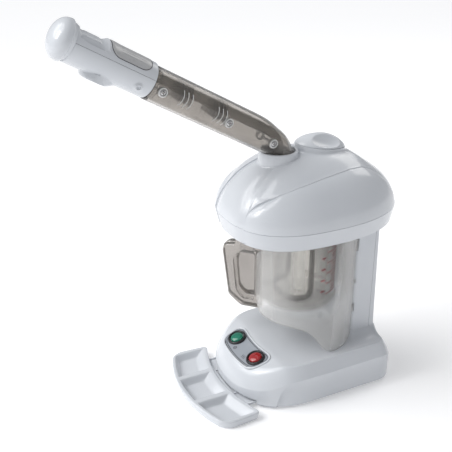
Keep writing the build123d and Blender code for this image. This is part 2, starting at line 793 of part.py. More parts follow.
with BuildPart() as swivel_collar:
    with BuildSketch(Plane(origin=(0, COLLAR_Y, COLLAR_FOOT))):
        Circle(COLLAR_RADIUS)
        Circle(ARM_RADIUS + RUNNING, mode=Mode.SUBTRACT)
    extrude(amount=COLLAR_TOP - COLLAR_FOOT)
    with BuildSketch(Plane(origin=(0, COLLAR_Y, COLLAR_TOP))):
        Circle(COLLAR_RADIUS - 0.6)
    extrude(amount=-4, taper=45, mode=Mode.SUBTRACT)
save(swivel_collar.part, "swivel_collar")

with BuildPart() as ozone_lamp:
    with BuildSketch(Plane(origin=(-26, -22, LID_TOP + 12))):
        Circle(5)
    extrude(amount=30)
    fillet(ozone_lamp.edges().group_by(Axis.Z)[-1], 4)
save(ozone_lamp.part, "ozone_lamp")
with BuildPart() as lamp_holder:
    with BuildSketch(Plane(origin=(-26, -22, LID_TOP))):
        Circle(8)
    extrude(amount=12)
save(lamp_holder.part, "lamp_holder")

# ---------------------------------------------------------------- water jar
NECK_BOTTOM = 186.0
GRIP_TOP = 197.5
GRIP_SHOULDER = 160.0
GRIP_HEEL = 91.0
GRIP_BOTTOM = 77.5
GRIP_WEB = 1.0

with BuildPart() as glass_jar:
    with BuildSketch(Plane.XY.offset(JAR_BOTTOM)):
        Circle(JAR_RADIUS)
    extrude(amount=JAR_TOP - JAR_BOTTOM)
    fillet(glass_jar.edges().group_by(Axis.Z)[0], 6)
    with BuildSketch(Plane.XY.offset(JAR_TOP)):
        Circle(JAR_RADIUS - JAR_WALL)
    extrude(amount=JAR_BOTTOM + 4 - JAR_TOP, mode=Mode.SUBTRACT)
save(glass_jar.part, "glass_jar")

save(ring(Plane.XY.offset(JAR_BOTTOM + 6), JAR_RADIUS + 1.8, JAR_RADIUS, 5), "jar_base_ring")

with BuildPart() as jar_collar:
    with BuildSketch(Plane.XY.offset(NECK_BOTTOM)):
        Circle(JAR_NECK)
        Circle(JAR_RADIUS, mode=Mode.SUBTRACT)
    extrude(amount=JAR_TOP - NECK_BOTTOM)
    with BuildSketch(Plane.XY.offset(CAVITY_FLOOR + RUNNING)):
        for angle in LUG_ANGLES:
            with Locations(Rotation(0, 0, angle)):
                with Locations((LUG_REACH - 3, 0)):
                    Rectangle(6, 14)
        Circle(JAR_RADIUS + 1, mode=Mode.SUBTRACT)
    extrude(amount=2.5)
save(jar_collar.part, "jar_collar")

bearing = radians(HANDLE_BEARING)
HANDLE = Plane(
    origin=(0, 0, 0), x_dir=(-sin(bearing), -cos(bearing), 0), z_dir=(-cos(bearing), sin(bearing), 0)
)


def grip_outline():
    """Closed grip: a neck under the head, a rounded shoulder and a bevelled heel."""
    with BuildSketch(HANDLE.offset(-HANDLE_HALF_WIDTH)) as outline:
        with BuildLine():
            FilletPolyline(
                (JAR_NECK, GRIP_TOP),
                (76, GRIP_TOP),
                (76, GRIP_SHOULDER),
                (94, GRIP_SHOULDER),
                (85.5, GRIP_HEEL),
                (69, GRIP_BOTTOM),
                (JAR_NECK, GRIP_BOTTOM),
                close=True,
                radius=[0.6, 0.6, 0.6, 14, 3, 8, 0.6],
            )
        make_face()
    return outline.sketch


with BuildPart() as jar_handle:
    extrude(grip_outline(), amount=2 * HANDLE_HALF_WIDTH)
    for side in (-1, 1):
        with BuildSketch(HANDLE.offset(side * (HANDLE_HALF_WIDTH + 0.1))):
            with BuildLine():
                FilletPolyline((52, 151), (74, 151), (67, 89), (52, 89), close=True, radius=[2, 9, 4, 2])
            make_face()
        extrude(amount=-side * (HANDLE_HALF_WIDTH - GRIP_WEB), mode=Mode.SUBTRACT)
save(jar_handle.part, "jar_handle")

# ---------------------------------------------------------------- filler cap
CAP_EDGE = 3.0
CAP_SECTIONS = ((6.5, 0.95), (9.6, 0.82), (11.8, 0.6), (13.0, 0.3))
SCOOP_RADIUS = 22.0
SCOOP_AXIS = (20.0, 27.0)
SKIRT_RADIUS = 12.4
SKIRT_BOTTOM = 272.0
SKIRT_TOP = 288.5


def cap_section(height, share):
    with BuildSketch(SEAT.offset(height)) as face:
        Ellipse(CAP_HALF_WIDTH * share, CAP_HALF_LENGTH * share)
    return face.sketch


with BuildPart() as filler_cap:
    add(cap_section(RUNNING, 1.0))
    extrude(amount=CAP_EDGE - RUNNING)
    loft([cap_section(CAP_EDGE, 1.0)] + [cap_section(height, share) for height, share in CAP_SECTIONS])
    with BuildSketch(Plane(origin=SEAT.origin, x_dir=(1, 0, 0), z_dir=-SEAT.y_dir)):
        with Locations(SCOOP_AXIS, (-SCOOP_AXIS[0], SCOOP_AXIS[1])):
            Circle(SCOOP_RADIUS)
    extrude(amount=2 * CAP_HALF_LENGTH, both=True, mode=Mode.SUBTRACT)
    with BuildSketch(Plane.XY.offset(SKIRT_BOTTOM)):
        with Locations((0, FILLER_Y)):
            Circle(SKIRT_RADIUS)
            Circle(SKIRT_RADIUS - 2, mode=Mode.SUBTRACT)
    extrude(amount=SKIRT_TOP - SKIRT_BOTTOM)
save(filler_cap.part, "filler_cap")
save(ring(Plane(origin=(0, FILLER_Y, SKIRT_BOTTOM + 2)), SKIRT_RADIUS + 1, SKIRT_RADIUS, 3), "cap_seal")

# ---------------------------------------------------------------- steam arm
FLANGE_Z = 257.5
FLANGE_RADIUS = 20.8
BOSS_RADIUS = 3.4

with BuildPart() as arm_tube:
    with BuildLine() as arm_axis:
        FilletPolyline(
            (0, COLLAR_Y, FLANGE_Z), (0, COLLAR_Y, ARM_CORNER_Z), ARM.offset(ARM_LENGTH).origin, radius=ARM_BEND
        )
    with BuildSketch(Plane(origin=(0, COLLAR_Y, FLANGE_Z))):
        Circle(ARM_RADIUS)
        Circle(ARM_RADIUS - ARM_WALL, mode=Mode.SUBTRACT)
    sweep(path=arm_axis.line)
    with BuildSketch(Plane(origin=(0, COLLAR_Y, FLANGE_Z))):
        Circle(FLANGE_RADIUS)
        Circle(ARM_RADIUS - ARM_WALL, mode=Mode.SUBTRACT)
    extrude(amount=COLLAR_FOOT - FLANGE_Z - RUNNING)

ARM_SCREW_SPOTS = [ARM.from_local_coords((0, SCREW_DROP, along)) for along in ARM_SCREWS_AT]
SCREW_HEAD_X = 15.5


def arm_half(side):
    """One half of the clear tube with its screw bosses, cut on the plane of symmetry."""
    with BuildPart() as half:
        add(arm_tube.part)
        split(bisect_by=Plane.YZ, keep=Keep.TOP if side > 0 else Keep.BOTTOM)
        for spot in ARM_SCREW_SPOTS:
            start = Plane(origin=(0, spot.Y, spot.Z), x_dir=(0, 1, 0), z_dir=(side, 0, 0))
            with BuildSketch(start):
                Circle(BOSS_RADIUS)
            extrude(amount=16.2)
            with BuildSketch(start):
                Circle(1.6 if side > 0 else 1.5)
            extrude(amount=20 if side > 0 else 11, mode=Mode.SUBTRACT)
            if side > 0:
                with BuildSketch(start.offset(SCREW_HEAD_X)):
                    Circle(BOSS_RADIUS)
                extrude(amount=6, mode=Mode.SUBTRACT)
    return half.part


save(arm_half(1), "arm_shell_right")
save(arm_half(-1), "arm_shell_left")
arm_screws = Compound(
    children=[
        screw(Plane(origin=(SCREW_HEAD_X, spot.Y, spot.Z), x_dir=(0, 1, 0), z_dir=(1, 0, 0)), 25)
        for spot in ARM_SCREW_SPOTS
    ]
)
save(arm_screws, "arm_screws")

PIPE_RADIUS = 5.5
PIPE_LIFT = 7.2
PIPE_END = 158.0
PIPE_BEND = 28.0
PIPE_WALL = 1.2
pipe_corner = ARM_CORNER_Z + PIPE_LIFT / cos(radians(ARM_ELEVATION))
with BuildPart() as steam_pipe:
    with BuildLine() as pipe_axis:
        FilletPolyline(
            (0, COLLAR_Y, FLANGE_Z + 1),
            (0, COLLAR_Y, pipe_corner),
            ARM.from_local_coords((0, PIPE_LIFT, PIPE_END)),
            radius=PIPE_BEND,
        )
    with BuildSketch(Plane(origin=(0, COLLAR_Y, FLANGE_Z + 1))):
        Circle(PIPE_RADIUS)
        Circle(PIPE_RADIUS - PIPE_WALL, mode=Mode.SUBTRACT)
    sweep(path=pipe_axis.line)
save(steam_pipe.part, "steam_pipe")

CLIP_SPOTS = (88.5, 130.5)
CLIP_THICK = 1.2
with BuildPart() as pipe_clips:
    for along in CLIP_SPOTS:
        for step in (-6, 0, 6):
            with BuildSketch(ARM.offset(along + step - CLIP_THICK / 2)):
                Circle(ARM_RADIUS - ARM_WALL)
                with Locations((0, PIPE_LIFT)):
                    Circle(PIPE_RADIUS, mode=Mode.SUBTRACT)
                with Locations((0, -ARM_RADIUS)):
                    Rectangle(2 * ARM_RADIUS, 2 * ARM_RADIUS - 8, mode=Mode.SUBTRACT)
            extrude(amount=CLIP_THICK)
save(pipe_clips.part, "pipe_clips")

# ---------------------------------------------------------------- nozzle
PARTING = 3.3
NOZZLE_START = ARM_LENGTH + 0.4
NOZZLE_WALL = 2.5
BADGE_START = 175.0
BADGE_END = 216.5
GRIP_START = 221.0
GRIP_END = 250.0
GRIP_FLOOR = 16.4
OUTLET_DEPTH = 21.5
OUTLET_RADIUS = 15.0
BUMP_AT = 180.0
BUMP_TILT = 29.0
BUMP_RADIUS = 4.4
PIN_RADIUS = 2.3
NOZZLE_LIFT = 1.2
DOME_LIFT = 2.5
BADGE_DEPTH = 1.2
SLEEVE_START = 160.2
SLEEVE_BORE = 13.0
SLEEVE_DEPTH = 8.0

NOZZLE = Plane(origin=ARM.from_local_coords((0, NOZZLE_LIFT, 0)), x_dir=(1, 0, 0), z_dir=ARM.z_dir)
NOZZLE_TOP = Plane(origin=NOZZLE.origin, x_dir=(1, 0, 0), z_dir=ARM.y_dir)
OUTLET = Plane(origin=NOZZLE.offset(OUTLET_AT).origin, x_dir=(1, 0, 0), z_dir=-ARM.y_dir)


def badge_outline(grow):
    """Rounded plate seen from above the nozzle."""
    with BuildSketch(NOZZLE_TOP) as outline:
        with Locations((0, -(BADGE_START + BADGE_END) / 2)):
            RectangleRounded(31 + 2 * grow, BADGE_END - BADGE_START + 2 * grow, 12 + grow)
    return outline.sketch


def nozzle_tube(outer, inner):
    return ring(NOZZLE.offset(NOZZLE_START), outer, inner, NOZZLE_END - NOZZLE_START)


with BuildPart() as nozzle_body:
    with BuildSketch(NOZZLE.offset(NOZZLE_START)):
        Circle(NOZZLE_RADIUS)
    extrude(amount=NOZZLE_END - NOZZLE_START)
    with BuildSketch(OUTLET):
        Circle(OUTLET_RADIUS)
    extrude(amount=OUTLET_DEPTH)
    with BuildSketch(NOZZLE.offset(NOZZLE_START - 1)):
        Circle(NOZZLE_RADIUS - NOZZLE_WALL)
    extrude(amount=NOZZLE_END - NOZZLE_START - 2, mode=Mode.SUBTRACT)
    with BuildSketch(OUTLET):
        Circle(OUTLET_RADIUS - NOZZLE_WALL)
    extrude(amount=OUTLET_DEPTH + 5, mode=Mode.SUBTRACT)
    with BuildSketch(NOZZLE_TOP.offset(GRIP_FLOOR)):
        with Locations((0, -(GRIP_START + GRIP_END) / 2)):
            RectangleRounded(40, GRIP_END - GRIP_START, 6)
    extrude(amount=10, mode=Mode.SUBTRACT)

badge_cut = extrude(badge_outline(0.15), amount=30, dir=tuple(ARM.y_dir))
badge_plug = extrude(badge_outline(0), amount=30, dir=tuple(ARM.y_dir))

with BuildPart() as nozzle_upper_shell:
    add(nozzle_body.part)
    split(bisect_by=NOZZLE_TOP.offset(PARTING), keep=Keep.TOP)
    add(badge_cut & nozzle_tube(NOZZLE_RADIUS + 5, NOZZLE_RADIUS - BADGE_DEPTH), mode=Mode.SUBTRACT)
save(nozzle_upper_shell.part, "nozzle_upper_shell")

save(badge_plug & nozzle_tube(NOZZLE_RADIUS + 0.6, NOZZLE_RADIUS - BADGE_DEPTH), "nozzle_badge")

bump = Plane(
    origin=NOZZLE.offset(BUMP_AT).origin,
    x_dir=ARM.z_dir,
    z_dir=ARM.x_dir * cos(radians(BUMP_TILT)) - ARM.y_dir * sin(radians(BUMP_TILT)),
)
with BuildPart() as nozzle_lower_shell:
    add(nozzle_body.part)
    split(bisect_by=NOZZLE_TOP.offset(PARTING), keep=Keep.BOTTOM)
    with BuildSketch(bump.offset(NOZZLE_RADIUS - 4)):
        Circle(BUMP_RADIUS)
    extrude(amount=5.2)
    with BuildSketch(bump.offset(NOZZLE_RADIUS - 6)):
        Circle(PIN_RADIUS)
    extrude(amount=10, mode=Mode.SUBTRACT)
save(nozzle_lower_shell.part, "nozzle_lower_shell")
save(rod(bump.offset(NOZZLE_RADIUS - 5), PIN_RADIUS, 4.8), "nozzle_pin")

with BuildPart() as steam_outlet:
    with BuildSketch(OUTLET.offset(OUTLET_DEPTH - 7)):
        Circle(OUTLET_RADIUS - NOZZLE_WALL)
        Circle(OUTLET_RADIUS - NOZZLE_WALL - 2, mode=Mode.SUBTRACT)
    extrude(amount=7)
    with BuildSketch(OUTLET.offset(OUTLET_DEPTH - 5)):
        Circle(OUTLET_RADIUS - NOZZLE_WALL)
        for step in (-2, -1, 0, 1, 2):
            with Locations((step * 4.2, 0)):
                SlotOverall(17 - abs(step) * 2.5, 2.4, rotation=90, mode=Mode.SUBTRACT)
    extrude(amount=1.6)
save(steam_outlet.part, "steam_outlet")

DOME_BASE = NOZZLE_RADIUS - 0.2
DOME_RADIUS = NOZZLE_RADIUS + 2.2
with BuildPart() as nozzle_end_cap:
    cap_side = Plane(origin=ARM.from_local_coords((0, DOME_LIFT, 0)), x_dir=ARM.y_dir, z_dir=ARM.x_dir)
    with BuildSketch(cap_side):
        with BuildLine():
            Polyline((0, NOZZLE_END), (DOME_BASE, NOZZLE_END), (DOME_BASE, NOZZLE_END + 1.2))
            Bezier(
                (DOME_BASE, NOZZLE_END + 1.2),
                (DOME_BASE + 1.8, NOZZLE_END + 1.2),
                (DOME_RADIUS, NOZZLE_END + 2.0),
                (DOME_RADIUS, NOZZLE_END + 3.6),
            )
            Bezier(
                (DOME_RADIUS, NOZZLE_END + 3.6),
                (DOME_RADIUS, NOZZLE_END + 13.0),
                (11, NOZZLE_TIP),
                (0, NOZZLE_TIP),
            )
            Line((0, NOZZLE_TIP), (0, NOZZLE_END))
        make_face()
    revolve(axis=Axis(cap_side.origin, ARM.z_dir))
    with BuildSketch(NOZZLE.offset(NOZZLE_END)):
        Circle(NOZZLE_RADIUS - NOZZLE_WALL - 2)
    extrude(amount=9, mode=Mode.SUBTRACT)
save(nozzle_end_cap.part, "nozzle_end_cap")

with BuildPart() as nozzle_sleeve:
    with BuildSketch(ARM.offset(SLEEVE_START)):
        Circle(ARM_RADIUS - ARM_WALL - RUNNING)
    extrude(amount=NOZZLE_START - SLEEVE_START)
    with BuildSketch(NOZZLE.offset(NOZZLE_START)):
        Circle(NOZZLE_RADIUS - NOZZLE_WALL)
    extrude(amount=SLEEVE_DEPTH)
    with BuildSketch(ARM.offset(SLEEVE_START)):
        Circle(SLEEVE_BORE)
    extrude(amount=NOZZLE_START + SLEEVE_DEPTH - SLEEVE_START, mode=Mode.SUBTRACT)
save(nozzle_sleeve.part, "nozzle_sleeve")
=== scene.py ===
"""Looks of the facial steamer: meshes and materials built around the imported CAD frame."""
from math import cos, exp, hypot, log, pi, radians, sin, sqrt, tan

import bmesh
import bpy
import numpy as np
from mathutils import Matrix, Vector


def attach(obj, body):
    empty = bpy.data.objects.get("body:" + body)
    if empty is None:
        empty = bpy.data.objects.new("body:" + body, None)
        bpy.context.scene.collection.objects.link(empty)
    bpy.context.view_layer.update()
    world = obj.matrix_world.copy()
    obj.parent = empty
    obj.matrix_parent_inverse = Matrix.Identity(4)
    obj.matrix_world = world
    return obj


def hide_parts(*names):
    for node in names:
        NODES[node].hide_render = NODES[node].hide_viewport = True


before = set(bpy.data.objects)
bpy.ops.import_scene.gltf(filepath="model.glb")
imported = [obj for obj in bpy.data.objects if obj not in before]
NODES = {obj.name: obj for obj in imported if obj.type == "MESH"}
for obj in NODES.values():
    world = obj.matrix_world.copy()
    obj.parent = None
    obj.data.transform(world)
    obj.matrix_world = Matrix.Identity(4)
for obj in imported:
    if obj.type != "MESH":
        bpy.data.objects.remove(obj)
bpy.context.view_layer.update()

MM = 0.001


# ---- numbers shared by several pieces (millimetres)
HEAD_POWERS = (2.61, 2.36)
DOME_POWERS = (1.46, 2.58)
RIM_BOTTOM, RIM_TOP, DOME_HEIGHT = 199.0, 219.0, 64.7
RIM_SIZE = (73.0, 92.0, 105.0)
DOME_SIZE, DOME_SHIFT = (77.0, 96.8, 108.0), 1.7
BASE_TOP, BASE_BOTTOM = 50.5, 3.0
BASE_HALF, BASE_FRONT, BASE_REAR, BASE_CORNER, NOSE_START = 76.0, -98.0, 92.0, 20.0, -20.0
SLOPE_START, SLOPE_TILT = -51.7, radians(18)
SWITCH_SPACING, SWITCH_Y = 47.0, -68.6
COLUMN_HALF, COLUMN_FRONT, COLUMN_REAR, COLUMN_SPLIT, COLUMN_LEAN = 40.0, 50.0, 85.0, 76.0, 4.5
GUARD_RADIUS, GUARD_Y, GUARD_WALL = 57.8, 8.25, 2.2
JAR_RADIUS, JAR_WALL, MARK_RADIUS = 42.0, 2.4, 42.12
COLLAR_Y, COLLAR_RADIUS, COLLAR_TOP = -33.0, 21.5, 286.5
CAP_Y, CAP_SEAT, CAP_TILT = 19.0, 286.0, radians(8.5)
CAP_HALF, CAP_LENGTH, CAP_HEIGHT, SKIRT_Y = 20.0, 30.0, 13.2, 24.0
ARM_TILT, ARM_CORNER, ARM_RADIUS, ARM_BEND, ARM_LENGTH = radians(29.8), 295.7, 17.5, 19.0, 166.0
FLANGE_Z = 257.5
ARM_SCREWS_AT, SCREW_DROP = (16.4, 75.7, 155.5), -2.5
NOZZLE_START, NOZZLE_END, NOZZLE_RADIUS = 166.4, 252.0, 18.0

NORTH, UPRIGHT = np.array([0.0, 1.0, 0.0]), np.array([0.0, 0.0, 1.0])
ALONG = np.array([0.0, -cos(ARM_TILT), sin(ARM_TILT)])
ACROSS = np.array([1.0, 0.0, 0.0])
UP = np.array([0.0, sin(ARM_TILT), cos(ARM_TILT)])
ELBOW = np.array([0.0, COLLAR_Y, ARM_CORNER])
SLOPE_OUT = np.array([0.0, -sin(SLOPE_TILT), cos(SLOPE_TILT)])
SLOPE_UP = np.array([0.0, cos(SLOPE_TILT), sin(SLOPE_TILT)])
SLOPE_EDGE = np.array([0.0, SLOPE_START, BASE_TOP])
SEAT_UP = np.array([0.0, sin(CAP_TILT), cos(CAP_TILT)])
SEAT_BACK = np.array([0.0, cos(CAP_TILT), -sin(CAP_TILT)])
SEAT_AT = np.array([0.0, CAP_Y, CAP_SEAT])


def smooth(value, low=0.0, high=1.0):
    """Eased step from 0 at low to 1 at high."""
    share = min(max((value - low) / (high - low), 0.0), 1.0)
    return share * share * (3 - 2 * share)


def between(value, stops):
    """Straight-line interpolation through (place, height) stops."""
    return float(np.interp(value, *zip(*stops)))


def edge_drop(radius, distance):
    """How far a quarter-round edge has fallen away at a distance inside its outline."""
    return radius - sqrt(max(radius ** 2 - (radius - min(distance, radius)) ** 2, 0.0))


def unit(vector):
    return vector / np.linalg.norm(vector)


def turns(steps):
    """Angles once round a circle."""
    return [2 * pi * i / steps for i in range(steps)]


def ring(centre, radius, side, other, steps):
    """Points on a circle that starts in one direction and turns towards another."""
    return [centre + (side * cos(a) + other * sin(a)) * radius for a in turns(steps)]


def raised(loop, height):
    """Plan points lifted to one height."""
    return [np.array([p[0], p[1], height]) for p in loop]


def arm_point(across, up, along):
    """A point given in the arm's own directions."""
    return ELBOW + ACROSS * across + UP * up + ALONG * along


def seat_point(x, back, up=0.0):
    """A point given from the middle of the filler cap's tilted seat."""
    return SEAT_AT + ACROSS * x + SEAT_BACK * back + SEAT_UP * up


def slope_point(x, v, out=0.0):
    """A point on the control slope, out of it by a distance."""
    return SLOPE_EDGE + ACROSS * x + SLOPE_UP * v + SLOPE_OUT * out


# ---- mesh building
def piece(name, points, faces, body, slot, material, replaced=(), crease=35):
    """One visible piece from points in millimetres."""
    mesh = bpy.data.meshes.new(name)
    mesh.from_pydata([tuple(float(c) * MM for c in p) for p in points], [], faces)
    build = bmesh.new()
    build.from_mesh(mesh)
    bmesh.ops.remove_doubles(build, verts=build.verts, dist=1e-7)
    bmesh.ops.recalc_face_normals(build, faces=build.faces)
    build.to_mesh(mesh)
    build.free()
    mesh.validate()
    mesh.polygons.foreach_set("use_smooth", [True] * len(mesh.polygons))
    mesh.set_sharp_from_angle(angle=radians(crease))
    mesh.materials.append(material)
    thing = bpy.data.objects.new(name, mesh)
    bpy.context.scene.collection.objects.link(thing)
    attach(thing, body)
    if replaced:
        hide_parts(*replaced)
    return thing


def skin(rows, closed=True, caps=True):
    """Faces that join rows of points; closed rows are loops, and caps fill the first and last row."""
    count = len(rows[0])
    faces = []
    for low in range(0, (len(rows) - 1) * count, count):
        for i in range(count if closed else count - 1):
            j = (i + 1) % count
            faces.append((low + i, low + j, low + count + j, low + count + i))
    if caps and closed:
        faces.append(tuple(reversed(range(count))))
        faces.append(tuple((len(rows) - 1) * count + i for i in range(count)))
    return [p for row in rows for p in row], faces


def border(rows):
    """The points round the edge of an open sheet of rows."""
    return rows[0][:] + [row[-1] for row in rows[1:]] + rows[-1][-2::-1] + [row[0] for row in rows[-2:0:-1]]


def merge(*parts):
    """Several (points, faces) sets as one."""
    points, faces = [], []
    for some_points, some_faces in parts:
        start = len(points)
        points += list(some_points)
        faces += [tuple(start + i for i in face) for face in some_faces]
    return points, faces


def lathe(profile, centre, axis=UPRIGHT, side=ACROSS, steps=96):
    """A profile of (radius, height) turned about an axis; it closes on the axis or on itself."""
    axis, side = np.array(axis, float), np.array(side, float)
    other = np.cross(axis, side)
    centre = np.array(centre, float)
    rows = [ring(centre + axis * height, radius, side, other, steps) for radius, height in profile]
    return skin(rows, caps=not (profile[0][0] > 0.01 and profile[0] == profile[-1]))


def rounded(profile, radius=0.6, steps=4):
    """A closed (radius, height) profile with each corner rounded."""
    result = []
    for i, corner in enumerate(profile):
        here = np.array(corner, float)
        before = np.array(profile[i - 1], float) - here
        after = np.array(profile[(i + 1) % len(profile)], float) - here
        reach = min(radius, 0.45 * np.linalg.norm(before), 0.45 * np.linalg.norm(after))
        start, end = here + unit(before) * reach, here + unit(after) * reach
        for k in range(steps + 1):
            t = k / steps
            result.append(tuple((1 - t) ** 2 * start + 2 * t * (1 - t) * here + t * t * end))
    return result + [result[0]]


def sweep(path, radius, sides=10, flat=1.0, up=UPRIGHT, loop=False):
    """A round or flattened bead along a path of points, closed at its ends or joined into a loop."""
    path = [np.array(p, float) for p in path]
    last = len(path) - 1
    rows = []
    for i, here in enumerate(path):
        if loop:
            ahead = unit(path[(i + 1) % len(path)] - path[i - 1])
        else:
            ahead = unit(path[min(i + 1, last)] - path[max(i - 1, 0)])
        wide = unit(np.cross(ahead, up))
        rows.append(ring(here, radius, wide, np.cross(wide, ahead) * flat, sides))
    return skin(rows + [rows[0]], caps=False) if loop else skin(rows)


def loop_bead(path, radius, sides=8, flat=1.0, up=UPRIGHT):
    """A bead along a closed path."""
    return sweep(path, radius, sides, flat, up, loop=True)


def round_corners(corners, radii, arc_steps=8, spacing=3.0, straights=None):
    """A closed outline of points from corners and their radii, dense along its straights."""
    result = []
    for i, corner in enumerate(corners):
        here = np.array(corner, float)
        before = np.array(corners[i - 1], float) - here
        after = np.array(corners[(i + 1) % len(corners)], float) - here
        lb, la = np.linalg.norm(before), np.linalg.norm(after)
        half = np.arccos(np.clip(before @ after / (lb * la), -1, 1)) / 2
        reach = min(radii[i] / tan(half), 0.48 * lb, 0.48 * la)
        start, end = here + before / lb * reach, here + after / la * reach
        for k in range(arc_steps + 1):
            t = k / arc_steps
            a, b, c = (1 - t) ** 2, 2 * t * (1 - t) * sin(half), t * t
            result.append((a * start + b * here + c * end) / (a + b + c))
    dense = []
    for i, here in enumerate(result):
        step = result[(i + 1) % len(result)] - here
        parts = max(1, int(np.linalg.norm(step) / spacing))
        if straights:
            parts = straights if i % (arc_steps + 1) == arc_steps else 1
        dense += [here + step * k / parts for k in range(parts)]
    return dense


def resample(loop, count):
    """The same closed outline at an even spacing."""
    points = [np.array(p, float) for p in loop]
    steps = [after - here for here, after in zip(points, points[1:] + points[:1])]
    gaps = [np.linalg.norm(step) for step in steps]
    total, result, walked, i = sum(gaps), [], 0.0, 0
    for k in range(count):
        target = total * k / count
        while walked + gaps[i] < target:
            walked += gaps[i]
            i += 1
        share = (target - walked) / gaps[i] if gaps[i] > 0 else 0
        result.append(points[i] + steps[i] * share)
    return result


def inset(loop, distance):
    """The outline moved inwards; it runs anticlockwise."""
    result = []
    for i, here in enumerate(loop):
        ahead = unit(np.array(loop[(i + 1) % len(loop)]) - np.array(loop[i - 1]))
        result.append(np.array(here) + np.array([-ahead[1], ahead[0]]) * distance)
    return result


# ---- materials
class Shader:
    """A new material, with short ways to make its nodes and join them."""

    def __init__(self, name):
        self.material = bpy.data.materials.new(name)
        self.material.use_nodes = True
        self.nodes, self.links = self.material.node_tree.nodes, self.material.node_tree.links
        self.bsdf = self.nodes["Principled BSDF"]

    def feed(self, node, inputs):
        """Sets each input to its value, or links it to the output that is given instead."""
        for name, value in inputs.items():
            if isinstance(value, bpy.types.NodeSocket):
                self.links.new(value, node.inputs[name])
            else:
                node.inputs[name].default_value = value
        return node

    def finish(self, inputs):
        self.feed(self.bsdf, inputs)

    def spot(self):
        """Object coordinates, in metres."""
        return self.nodes.new("ShaderNodeTexCoord").outputs["Object"]

    def noise(self, scale, detail=3.0, roughness=0.5):
        texture = self.nodes.new("ShaderNodeTexNoise")
        grain = {"Scale": scale, "Detail": detail, "Roughness": roughness}
        return self.feed(texture, {**grain, "Vector": self.spot()}).outputs["Fac"]

    def spread(self, value, low, high, start=0.3, end=0.7, kind="LINEAR"):
        """A value mapped from start and end to low and high."""
        ranged = self.nodes.new("ShaderNodeMapRange")
        ranged.interpolation_type = kind
        limits = {"From Min": start, "From Max": end, "To Min": low, "To Max": high}
        return self.feed(ranged, {**limits, "Value": value}).outputs["Result"]

    def mix(self, share, first, second, kind="FLOAT"):
        blend = self.nodes.new("ShaderNodeMix")
        blend.data_type = kind
        return self.feed(blend, {"A": first, "B": second, "Factor": share}).outputs["Result"]

    def colours(self, share, first, second):
        return self.mix(share, (*first, 1), (*second, 1), "RGBA")

    def math(self, operation, first, second):
        step = self.nodes.new("ShaderNodeMath")
        step.operation = operation
        return self.feed(step, {0: first, 1: second}).outputs[0]

    def bump(self, value, strength, distance):
        relief = self.nodes.new("ShaderNodeBump")
        self.feed(relief, {"Strength": strength, "Distance": distance, "Height": value})
        self.finish({"Normal": relief.outputs["Normal"]})


def clouded(name, colour, shade, *grain):
    """A shader whose colour drifts between two tones."""
    shader = Shader(name)
    cloud = shader.spread(shader.noise(*grain), 0, 1)
    shader.finish({"Base Color": shader.colours(cloud, colour, shade)})
    return shader


def moulded(name, colour, shade, roughness=(0.16, 0.26), ripple=0.05, coat=0.25, painted_glow=0.0):
    """Injection-moulded plastic: faint flow marks in colour and gloss, and a slight orange peel."""
    shader = clouded(name, colour, shade, 22, 4)
    shader.bump(shader.noise(900, 2), ripple, 0.0002)
    shader.finish({
        "Roughness": shader.spread(shader.noise(160, 5, 0.6), *roughness),
        "IOR": 1.5, "Coat Weight": coat, "Coat Roughness": 0.08,
    })
    # painted light: an optional glow that brightens a part which is no lamp
    if painted_glow:
        shader.finish({"Emission Color": (1.0, 1.0, 0.98, 1), "Emission Strength": painted_glow})
    return shader.material


def clear(name, colour, shade, roughness=(0.02, 0.08), ripple=0.04, transmission=1.0, alpha=1.0):
    """See-through plastic or glass with a slight ripple and faint smears."""
    shader = clouded(name, colour, shade, 30, 3)
    shader.bump(shader.noise(110, 2), ripple, 0.0006)
    shader.finish({
        "Roughness": shader.spread(shader.noise(70, 5, 0.65), *roughness),
        "IOR": 1.45, "Transmission Weight": transmission, "Alpha": alpha,
    })
    return shader.material


def metal(name, colour, shade, roughness=(0.12, 0.3)):
    shader = clouded(name, colour, shade, 240, 4, 0.6)
    shader.bump(shader.noise(1200, 3), 0.1, 0.0001)
    shader.finish({"Roughness": shader.spread(shader.noise(720, 4), *roughness), "Metallic": 1.0})
    return shader.material


def frosted_guard():
    """Frosted sheet with a clearer window, soft at its borders, towards the front corner."""
    shader = Shader("frosted_guard")
    parts = shader.feed(shader.nodes.new("ShaderNodeSeparateXYZ"), {"Vector": shader.spot()}).outputs
    forward = shader.math("SUBTRACT", GUARD_Y * MM, parts["Y"])

    def band(value, low, high, soft):
        """1 between low and high, with soft borders."""
        rise = shader.spread(value, 0.0, 1.0, low - soft, low + soft, "SMOOTHSTEP")
        fall = shader.spread(value, 1.0, 0.0, high - soft, high + soft, "SMOOTHSTEP")
        return shader.math("MULTIPLY", rise, fall)

    bearing = shader.math("ARCTAN2", parts["X"], forward)
    window = shader.math("MULTIPLY", band(bearing, radians(44), radians(98), radians(10)),
                         band(parts["Z"], 0.112, 0.215, 0.022))
    frost = shader.spread(shader.noise(60, 5, 0.6), 0.07, 0.10)
    shader.bump(shader.noise(1800, 2), 0.05, 0.0001)
    shader.finish({
        "Base Color": shader.colours(window, (0.71, 0.705, 0.69), (0.90, 0.895, 0.88)),
        "Roughness": shader.mix(window, frost, 0.02), "Transmission Weight": shader.mix(window, 0.45, 0.92),
        "Alpha": shader.mix(window, 0.52, 0.12), "IOR": 1.3,
    })
    return shader.material


